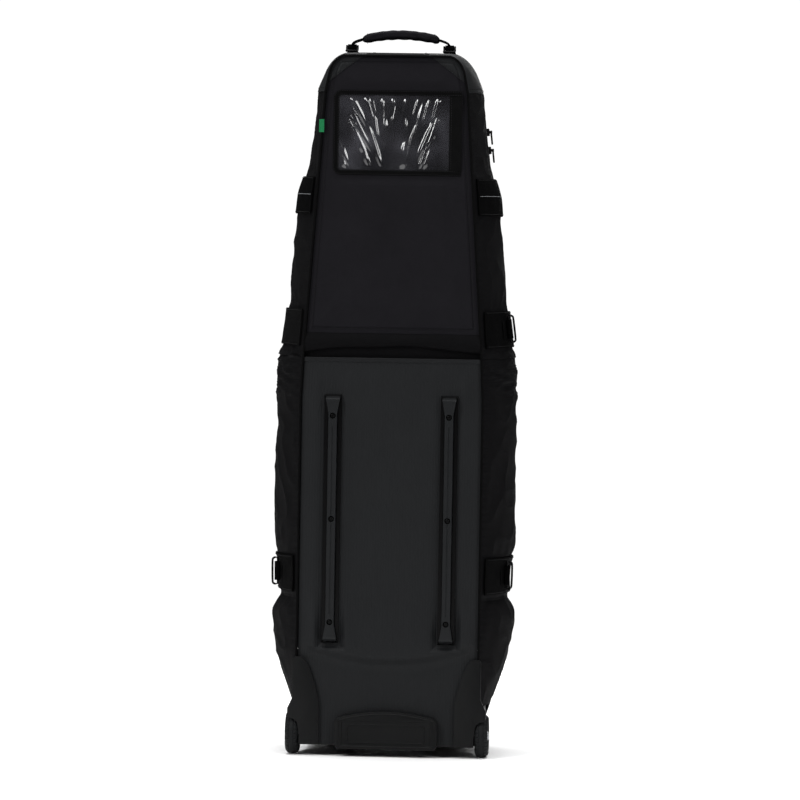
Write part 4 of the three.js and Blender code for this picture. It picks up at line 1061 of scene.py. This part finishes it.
def window_binding(band):
    """Tape along the top, the left side and the bottom of the film, turning two round corners."""
    radius = 0.0095
    turn = np.linspace(0, np.pi / 2, 12)
    left, low, high = WINDOW_LEFT + band / 2, WINDOW_LOW + band / 2, WINDOW_HIGH - band / 2
    top = np.linspace(WINDOW_RIGHT, left + radius, 50)
    corner = [(left + radius * (1 - math.sin(a)), high - radius * (1 - math.cos(a))) for a in turn]
    side = np.linspace(high - radius, low + radius, 30)[1:-1]
    path = [*[(x, high) for x in top[:-1]], *corner, *[(left, z) for z in side]]
    path += [(x, low + high - z) for x, z in corner[::-1]]
    path += [(x, low) for x in top[::-1][1:]]
    path = np.array(path)
    points = placed(path[:, 0], BACK_Y - 0.0004, path[:, 1])
    across, out = side_frames(points, BACK)
    binding = swept("window_edge_tape", points, across, out, tape_section(band, 0.0021), TAPE)
    fitted(binding, "shell", "webbing", "window_binding")
    for i, offset in enumerate((-0.0032, 0.0032)):
        line = points + across * offset + out * 0.0020
        stitches(f"window_stitch_{i + 1}", line, BACK)


def window_closure(edge, z0, z1):
    """The hook-and-loop strip that shuts the right side, with one row of stitching."""
    columns = np.linspace(edge - 0.001, WINDOW_RIGHT + 0.001, 24)
    x, z = np.meshgrid(columns, np.linspace(z0, z1, 90))
    lift = 0.0006 * smooth(edge + 0.008, WINDOW_RIGHT, x) * (1 + np.sin((z - z0) * 52))
    fuzz = 0.00025 * gradient_noise(x / 0.0016, z / 0.0016, 33)
    points = placed(x, BACK_Y - 0.0020 - lift + fuzz, z)
    closure = cloth_sheet("window_closure_tape", points, 0.0011, CHEVRON)
    fitted(closure, "shell", "webbing", "window_closure")
    levels = np.linspace(z0 + 0.002, z1 - 0.002, 70)
    line = placed(edge + 0.0022, BACK_Y - 0.0023, levels)
    stitches("closure_stitch", line, BACK)


def tag():
    low, high = (np.array(corner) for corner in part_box("side_tag"))
    x, z = np.meshgrid(np.linspace(low[0], high[0], 12), np.linspace(low[2], high[2], 24))
    curl = 0.0008 * np.sin((x - low[0]) / (high[0] - low[0]) * np.pi)
    curl = curl + 0.0003 * gradient_noise(x / 0.008, z / 0.008, 4)
    ribbon = cloth_sheet("side_ribbon_tag", placed(x, low[1] + 0.0006 - curl, z), 0.0008, GREEN)
    fitted(ribbon, "shell", "green", "side_tag")


# ---- Skid rails and screws ----
def rail_section(crest, height, groove):
    """(across, out) pairs from the flange's edge to the groove down the middle, then mirrored."""
    flange = min(0.004, height)
    crown = max(height, flange + 0.0002)
    ease = min(0.0014, 0.25 * crown)
    half = [
        (RAIL_HALF, 0),
        (RAIL_HALF, flange * 0.8),
        (RAIL_HALF - 0.0008, flange),
        (crest + 0.0011, flange),
        (crest + 0.0006, flange * 0.55),
        (crest, flange * 0.7),
        (crest, crown - ease),
        (crest - ease * 0.3, crown - ease * 0.3),
        (crest - ease, crown),
        (0.0011, crown),
        (0.0007, crown - groove),
    ]
    return [*half, *[(-a, b) for a, b in half[::-1]]]


def rails():
    end = 0.012
    middle = np.arange(end, RAIL_LENGTH - end, 0.00075)
    first, last = np.linspace(0, end, 14), np.linspace(RAIL_LENGTH - end, RAIL_LENGTH, 14)
    z = np.concatenate([first[:-1], middle, last])
    to_end = np.minimum(z, RAIL_LENGTH - z)
    height = np.minimum(0.0004 + to_end * 1.75, RAIL_HEIGHT) - 0.0010 * smooth(0.012, 0.004, to_end)
    crest = mix(0.0133, 0.0078, (to_end - 0.004) / 0.030) - 0.0035 * smooth(0.005, 0, to_end)
    groove = 0.0008 * smooth(0.050, 0.056, to_end)
    section = np.array([rail_section(c, h, g) for c, h, g in zip(crest, height, groove)])
    for side, word in SIDES:
        x = side * RAIL_X
        line = placed(x, BACK_Y - 0.0004, RAIL_BOTTOM + z)
        rail = swept(f"rail_moulding_{word}", line, (1, 0, 0), BACK, section, RAIL_PLASTIC, angle=35)
        for screw_z in SCREW_LEVELS:
            carve(rail, peg((x, BACK_Y - RAIL_HEIGHT, screw_z), RECESS_RADIUS, 2 * RECESS_DEPTH))
        # Painted shade: black on the flange, in the channels beside the crest and in the screw recesses.
        paint_rail_shade(rail, x)
        shade(rail, 35)
        fitted(rail, "shell", "moulded", f"skid_rail_{word}")
    screw = screw_mesh()
    for i in range(6):
        node = f"rail_screw_{i + 1}"
        low, high = (Vector(corner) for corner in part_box(node))
        middle = (low + high) / 2
        obj = moved(added(f"cross_screw_{i + 1}", screw.copy()), (middle.x, low.y, middle.z))
        fitted(obj, "shell", "black_steel", node)


def paint_rail_shade(rail, x):
    """Painted shade: the flange, the channels beside the crest and the screw recesses are made black for
    the shade that falls there; the crest is grey.
    """
    rail.data.materials.append(BLACK_PLASTIC_AND_RAIL_SHADE)
    for face in rail.data.polygons:
        place = face.center
        to_screw = min(math.hypot(place.x - x, place.z - z) for z in SCREW_LEVELS)
        in_recess = to_screw < RECESS_RADIUS + 0.0002 and place.y > BACK_Y - RAIL_HEIGHT + 0.0004
        # Faces in a screw recess, low beside the crest or out on the flange get the painted shade.
        if in_recess or place.y > BACK_Y - 0.0070 or abs(place.x - x) > 0.0142:
            face.material_index = 1


def drawn(name, draw):
    """An object whose mesh is made by a function of a bmesh."""
    mesh = bpy.data.meshes.new(name)
    reworked(mesh, draw)
    return added(name, mesh)


def peg(place, radius, depth):
    """A cylinder lying along Y, centred on a place."""
    turn = Vector((0, 0, 1)).rotation_difference(Vector((0, 1, 0))).to_matrix()

    def draw(bm):
        bmesh.ops.create_cone(bm, cap_ends=True, segments=32, radius1=radius, radius2=radius, depth=depth)
        bmesh.ops.transform(bm, matrix=turn.to_4x4(), verts=bm.verts)
        bmesh.ops.translate(bm, vec=Vector(place), verts=bm.verts)

    return drawn("peg", draw)


def brick(size):
    """A box about the origin."""

    def draw(bm):
        bmesh.ops.create_cube(bm, size=1)
        bmesh.ops.scale(bm, vec=Vector(size), verts=bm.verts)

    return drawn("brick", draw)


def screw_mesh():
    """A pan head with a cross recess, its top at the origin and its shank along +Y."""
    head = [(0, 0), (0.0028, 0.0002), (0.0042, 0.0009), (0.0049, 0.0022), (0.0049, 0.0030)]
    shank = [(0.0020, 0.0030), (0.0020, 0.0205), (0, 0.0210)]
    profile = head + shank
    turn = np.linspace(0, 2 * np.pi, 28, endpoint=False)
    points = [(r * math.cos(a), y, r * math.sin(a)) for r, y in profile for a in turn]
    faces = grid_faces(len(profile), len(turn), False, True)
    obj = new_object("screw", points, faces, BLACK_STEEL, None, 35)
    reworked(obj.data, merged(1e-6), turned_outward)
    for size in ((0.0052, 0.0030, 0.0012), (0.0012, 0.0030, 0.0052)):
        carve(obj, brick(size))
    shade(obj, 35)
    mesh = obj.data.copy()
    bpy.data.objects.remove(obj)
    return mesh


# ---- Wheels, guards and base ----
def spoke_ring(count, inner, outer, edge):
    """Section of a dished hub at each turn: a web between two walls, thickened by spokes."""
    rings = []
    for turn in np.linspace(0, 2 * np.pi, 120, endpoint=False):
        spoke = max(0.0, math.cos(turn * count)) ** 3
        web = 0.0030 + 0.0042 * spoke
        boss = [(inner, 0.0075), (inner + 0.003, 0.0075), (inner + 0.0036, web)]
        right = [*boss, (outer - 0.0046, web), (outer - 0.0038, edge), (outer, edge)]
        rings.append([*right, *[(r, -x) for r, x in right[::-1]]])
    return rings


def tread_ring(inner, outer, half, blocks):
    """Section of a tyre at each turn: a rounded crown with sipes and two grooves round it."""
    rings = []
    across = np.linspace(-1, 1, 25)
    for i in range(blocks * 8):
        cut = 0.0011 if i % 8 in (0, 1) else 0.0
        crown = []
        for a in across:
            groove = 0.0010 * math.exp(-(((abs(a) - 0.34) / 0.07) ** 2))
            drop = 0.0060 * abs(a) ** 3.2
            sipe = cut if abs(a) > 0.36 else 0.0
            crown.append((outer - drop - groove - sipe, a * half))
        wall_low = [(inner + 0.004, half * 0.94), (inner, half * 0.80)]
        rings.append([*crown, *wall_low, *[(r, -x) for r, x in wall_low[::-1]]])
    return rings


def wheels():
    for _, word in SIDES:
        low, high = (Vector(corner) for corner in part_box(f"tyre_{word}"))
        middle = (low + high) / 2
        body = f"wheel_{word}"
        tyre = turned(f"tyre_rubber_{word}", tread_ring(0.0244, 0.0389, 0.0119, 30), RUBBER, 35)
        fitted(moved(tyre, middle), body, "tyre", f"tyre_{word}")
        hub = turned(f"hub_moulding_{word}", spoke_ring(5, 0.0114, 0.0240, 0.0088), MOULDED, 35)
        fitted(moved(hub, middle), body, "moulded", f"wheel_hub_{word}")
        softened(f"wheel_bearing_{word}", body, "steel", STEEL, 0.0004)
        softened(f"axle_{word}", "shell", "steel", STEEL, 0.0006)
        softened(f"wheel_housing_{word}", "shell", "moulded", MOULDED, 0.0014, 3)
        softened(f"front_foot_{word}", "shell", "moulded", RUBBER, 0.0012)
        softened(f"handle_bracket_{word}", "shell", "moulded", BLACK_PLASTIC_AND_RAIL_SHADE, 0.0010)


def base_fittings():
    softened("base_tray", "shell", "moulded", MOULDED, 0.0010)
    softened("base_grip", "shell", "moulded", MOULDED, 0.0012, 3)
    moved(softened("back_board", "shell", "board", BOARD, 0.0005), (0, 0.0022, 0))
    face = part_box("base_grip")[0][1]
    grip_border("arch", arched_outline(0.0860, 0.0185, 0.0660, 0.0770), face + 0.0002)
    grip_border("plate", arched_outline(0.0690, 0.0255, 0.0565, 0.0575), face + 0.0012)
    for i, z in enumerate((0.0300, 0.0530)):
        line = placed(np.linspace(-0.040, 0.040, 24), face + 0.0015, z)
        groove = swept(f"grip_line_{i + 1}", line, (0, 0, -1), BACK, tape_section(0.0010, 0.0005), MOULDED)
        fitted(groove, "shell", "moulded")


def arched_outline(half, low, shoulder, apex):
    """Plan of a plate with an arched top and eased corners, as (x, z) pairs going round it."""
    ease = 0.006
    t = np.linspace(0, 1, 14)[:, None]
    weights = ((1 - t) ** 2, 2 * t * (1 - t), t**2)
    curve = lambda *ends: sum(weight * np.array(end) for weight, end in zip(weights, ends))
    crown_start = (half - ease, shoulder + 0.12 * ease)
    corner = curve((half, shoulder - ease), (half, shoulder), crown_start)
    crown = curve(crown_start, (half * 0.45, apex), (0, apex))
    right = np.vstack([[[half - 0.003, low], [half, low + 0.003]], corner, crown[1:]])
    return np.vstack([right, right[-2::-1] * (-1, 1)])


def grip_border(name, path, y):
    """A raised line round the hand grip."""
    points = placed(path[:, 0], y, path[:, 1])
    along = unit(np.roll(points, -1, axis=0) - np.roll(points, 1, axis=0))
    across, section = np.cross(along, BACK), tape_section(0.0022, 0.0009)
    border = swept(f"grip_border_{name}", points, across, BACK, section, MOULDED, True)
    fitted(border, "shell", "moulded")


# ---- Rings, sliders and pulls ----
def hardware():
    rings = (
        ("base_ring_right", "ring_base_right"),
        ("base_ring_left", "ring_base_left"),
        ("waist_ring", "ring_waist"),
    )
    for node, body in rings:
        wire = softened(node, body, "black_steel", BLACK_STEEL, 0.0003, 1)
        smoothing = wire.modifiers.new("round", "SUBSURF")
        smoothing.levels = 1
        apply_modifiers(wire)
        shade(wire, 70)
    for which in ("upper", "lower"):
        softened(f"zip_slider_{which}", f"slider_{which}", "steel", BLACK_STEEL, 0.0006)
        softened(f"zip_pull_{which}", f"pull_{which}", "pull", PULL_RUBBER, 0.0005)
    softened("pocket_slider", "pocket_zip", "steel", BLACK_STEEL, 0.0006)


# ---- Top handle ----
def handle():
    low, high = (np.array(corner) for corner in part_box("handle_grip"))
    middle_y, grip_z = (low[1] + high[1]) / 2, high[2] - GRIP_THICK / 2
    handle_webbing(middle_y, grip_z)
    handle_grip(middle_y, grip_z)
    wrap_stitching(middle_y, grip_z)


def drooped(z, x):
    """Height of the handle's middle line at x, which droops towards both ends."""
    return z - GRIP_SAG * (x / GRIP_HALF) ** 2


def handle_webbing(middle_y, grip_z):
    """The strap through the grip, and the eyes sewn round the bars of its brackets."""
    hinge = handle_hinge_z()
    over = [(x, drooped(grip_z, x)) for x in np.linspace(GRIP_HALF + 0.002, 0, 12)]
    rise = [(HANDLE_HALF, hinge + 0.0036), (HANDLE_HALF - 0.003, hinge + 0.009), *over]
    half = resampled(np.array(rise), 60)
    whole = np.vstack([half, half[-2::-1] * (-1, 1)])
    points = placed(whole[:, 0], middle_y, whole[:, 1])
    across = np.array([0.0, 1.0, 0.0])
    out = np.cross(across, unit(np.gradient(points, axis=0)))
    strap = swept("handle_webbing", points, across, out, slab_section(0.0196, 0.0040), WEBBING, angle=35)
    fitted(strap, "handle", "webbing", "handle_strap")
    for side, word in SIDES:
        wrap = [[(0.0027, 0.0079), (0.0055, 0.0079), (0.0055, -0.0079), (0.0027, -0.0079)]] * 28
        eye = moved(turned(f"handle_eye_{word}", wrap, WEBBING), (side * HANDLE_HALF, middle_y, hinge))
        fitted(eye, "handle", "webbing")


def squared(values):
    """Cosines or sines pushed outwards, which turns a circle into a rounded rectangle."""
    return np.sign(values) * np.abs(values) ** GRIP_SQUARENESS


def handle_grip(middle_y, grip_z):
    """The padded wrap of the grip, closed at both ends."""
    count, round_count = 110, 44
    x = np.linspace(-GRIP_HALF, GRIP_HALF, count)
    turn = np.linspace(0, 2 * np.pi, round_count, endpoint=False)
    taper = np.maximum(1 - (np.abs(x) / GRIP_HALF) ** 14, 0.05) ** 0.5
    xx, tt = np.meshgrid(x, turn, indexing="ij")
    wrap = 0.0005 * gradient_noise(xx / 0.012, tt * 2, 41) + 0.0003 * np.sin(xx * 2 * np.pi / 0.020)
    wide, tall = squared(np.cos(tt)), squared(np.sin(tt))
    y = middle_y + (GRIP_WIDTH / 2 - 0.0006 + wrap) * wide * taper[:, None]
    z = drooped(grip_z, xx) + (GRIP_THICK / 2 - 0.0006 + wrap) * tall * taper[:, None]
    faces = [tuple(f) for f in grid_faces(count, round_count, False, True)]
    last = (count - 1) * round_count
    faces += [tuple(range(round_count))[::-1], tuple(last + k for k in range(round_count))]
    uv = np.stack([xx, tt * 0.015], axis=-1).reshape(-1, 2)
    grip = outward(new_object("handle_wrap", placed(xx, y, z).reshape(-1, 3), faces, NYLON_PAD, uv, 60))
    fitted(grip, "handle", "webbing", "handle_grip")


def wrap_stitching(middle_y, grip_z):
    """A ring of stitches near each end of the grip."""
    turn = np.linspace(0, 2 * np.pi, 60)
    y = (GRIP_WIDTH / 2 - 0.0004) * squared(np.cos(turn))
    z = (GRIP_THICK / 2 - 0.0004) * squared(np.sin(turn))
    x = GRIP_HALF - 0.009
    for side, word in SIDES:
        centre = np.array([side * x, middle_y, drooped(grip_z, x)])
        line = centre + placed(0, y, z)
        stitches(f"wrap_stitch_{word}", line, unit(line - centre), width=0.0008, body="handle")


def handle_hinge_z():
    joint = next(j for j in frame["joints"] if j["name"] == "handle_swing")
    return float(joint["pos_m"][2])


def resampled(points, count):
    """Evenly spaced points along a rounded line through the given ones."""
    for _ in range(3):
        middle = (points[1:] + points[:-1]) / 2
        pairs = np.stack([0.5 * (points[:-1] + middle), 0.5 * (middle + points[1:])], axis=1)
        points = np.vstack([points[:1], pairs.reshape(-1, points.shape[1]), points[-1:]])
    at = distances(points)
    return sampled(points, at, np.linspace(0, at[-1], count))


def slab_section(width, thick):
    a, b, r = width / 2, thick / 2, thick * 0.3
    front = [(a, -b + r), (a, b - r), (a - r, b), (-a + r, b)]
    return [*front, *[(-x, -y) for x, y in front]]


# ---- Front ----
def front_cloth(points, turn, z, seed):
    """Shallow folds on the front, none of them at the zip."""
    free = np.sin(np.clip(turn, 0, np.pi)) ** 0.5
    x = points[..., 0]
    slow = gradient_noise(x / 0.11, z / 0.16, seed)
    fold = creases(x / 0.10 + z / 0.3, z / 0.09 - x / 0.2, seed + 1) - 0.3
    under_pocket = smooth(POCKET["half"] + 0.025, POCKET["half"] + 0.004, np.abs(x))
    under_pocket = under_pocket * smooth(POCKET["bottom"] - 0.02, POCKET["bottom"], z)
    under_pocket = under_pocket * smooth(POCKET["top"] + 0.02, POCKET["top"], z)
    height = free * (0.0016 * slow + 0.0018 * fold - 0.0022) * (1 - under_pocket)
    return points + grid_normals(points) * height[..., None]


def front_walls():
    turn = np.linspace(0, np.pi, 110)
    low_levels = fine_levels(FLOOR_Z + 0.003, HINGE_Z - 0.0005, 0.006)
    walls = (
        ("front_cloth_lower", low_levels, "front_panel_lower", "shell"),
        ("front_cloth_flap", flap_levels(), "front_flap", "flap"),
    )
    for name, levels, node, body in walls:
        zz, tt = np.meshgrid(levels, turn, indexing="ij")
        points = front_cloth(front(zz, tt), tt, zz, 51)
        cloth = cloth_sheet(name, points, 0.0045, NYLON)
        fitted(cloth, body, "cloth", node)


def flap_levels():
    t = np.linspace(0, 1, 26)
    crown = ZIP_TOP_Z - FLAP_CROWN * (1 - np.sin(t * np.pi / 2) ** (2 / FRONT_SQUARENESS))
    return np.concatenate([fine_levels(HINGE_Z + 0.0005, crown[0], 0.0065), crown[1:]])


def round_off(t):
    return np.maximum(0, 1 - np.abs(t) ** POCKET["corner"]) ** (1 / POCKET["corner"])


def pocket_face(a, b, lift=0.0):
    """Outer face of the pocket: a up it and b across it, both from -1 to 1."""
    z = mix(POCKET["bottom"], POCKET["top"], (a + 1) / 2)
    edge = wall(seam_length(z), np.ones_like(z))
    x = -b * POCKET["half"]
    bow = (1 - np.abs(x / edge[..., 0]) ** FRONT_SQUARENESS) ** (1 / FRONT_SQUARENESS)
    flap_y = edge[..., 1] + ZIP_GAP + (front_y(z) - edge[..., 1]) * bow
    rise = POCKET["depth"] * round_off(a) * round_off(b)
    return placed(x, flap_y + POCKET["wall"] + 0.0004 + rise + lift, z)


def pocket():
    edge = 1 - np.array([0, 0.001, 0.004, 0.009, 0.018, 0.035, 0.06, 0.09])
    mouth_z, half_gap = POCKET["top"] - 0.038, 0.007
    span = POCKET["top"] - POCKET["bottom"]
    mouth = [2 * (mouth_z + d - POCKET["bottom"]) / span - 1 for d in (-half_gap, half_gap)]
    mouth_b = 0.088 / POCKET["half"]
    up = np.unique(np.concatenate([-edge, np.linspace(-0.9, 0.9, 60), mouth, edge]))
    along = np.unique(np.concatenate([-edge, np.linspace(-0.9, 0.9, 60), [-mouth_b, mouth_b], edge]))
    aa, bb = np.meshgrid(up, along, indexing="ij")
    points = pocket_face(aa, bb)
    slack = np.clip(1 - np.maximum(np.abs(aa), np.abs(bb)), 0, 0.25) * 4
    points[..., 1] += 0.0010 * slack * (gradient_noise(aa * 2.2, bb * 2.2, 61) - 0.6)
    middle_a, middle_b = (aa[1:, 1:] + aa[:-1, :-1]) / 2, (bb[1:, 1:] + bb[:-1, :-1]) / 2
    keep = ~((middle_a > mouth[0]) & (middle_a < mouth[1]) & (np.abs(middle_b) < mouth_b))
    cloth = cloth_sheet("pocket_cloth", points, POCKET["wall"], NYLON, keep)
    fitted(cloth, "flap", "cloth", "flap_pocket")
    x = np.linspace(-0.088, 0.088, 60)
    for side, word in ((1, "high"), (-1, "low")):
        z = mouth_z + side * (half_gap + 0.003)
        y = pocket_face(2 * (z - POCKET["bottom"]) / span - 1, -x / POCKET["half"])[:, 1]
        line = placed(x, y, z)
        tape = swept(f"pocket_tape_{word}", line, (0, 0, 1), (0, 1, 0), tape_section(0.006, 0.0009), TAPE)
        fitted(tape, "flap", "webbing")
        stitches(f"pocket_stitch_{word}", line + (0, 0.0009, 0), (0, 1, 0), body="flap")


# ---- Main zip ----
def main_zip():
    half = np.concatenate([
        np.linspace(seam_length(HINGE_Z + 0.002), seam_length(SHOULDER_Z), 420),
        np.linspace(seam_length(SHOULDER_Z), SEAM_LENGTH - TOP_HALF, 90)[1:],
    ])
    right = wall(half, np.ones_like(half))
    line = np.vstack([right, right[-2::-1] * (-1, 1, 1)])
    up = np.vstack([seam_out(half), seam_out(half)[-2::-1] * (-1, 1)])
    out = placed(up[:, 0], 0, up[:, 1])
    across, out = side_frames(line, out)
    tape = swept("zip_tape", line, across, out, slab_section(0.0020, 0.0016), TAPE)
    fitted(tape, "shell", "webbing", "main_zip")
    at = distances(line)
    s = np.arange(0.004, at[-1] - 0.004, 0.0026)
    centre, a, o = sampled(line, at, s), unit(sampled(across, at, s)), unit(sampled(out, at, s))
    t = np.cross(a, o)
    corners = [
        centre + t * (i * 0.0007) + a * (j * 0.0010) + o * (0.0006 + k * 0.0008)
        for i in (-1, 1) for j in (-1, 1) for k in (0, 1)
    ]
    vertices = np.stack(corners, axis=1).reshape(-1, 3)
    cell = [(0, 1, 3, 2), (4, 6, 7, 5), (0, 4, 5, 1), (2, 3, 7, 6), (1, 5, 7, 3), (0, 2, 6, 4)]
    faces = [[k + 8 * i for k in face] for i in range(len(s)) for face in cell]
    teeth = outward(new_object("zip_teeth", vertices, faces, PULL_RUBBER, None, 30))
    fitted(teeth, "shell", "webbing")


camera()
lower_panel()
waist_fold()
upper_panel()
corner_facings()
gussets()
shoulders()
piping()
straps()
label_window()
tag()
rails()
wheels()
base_fittings()
hardware()
handle()
front_walls()
pocket()
main_zip()
studio()
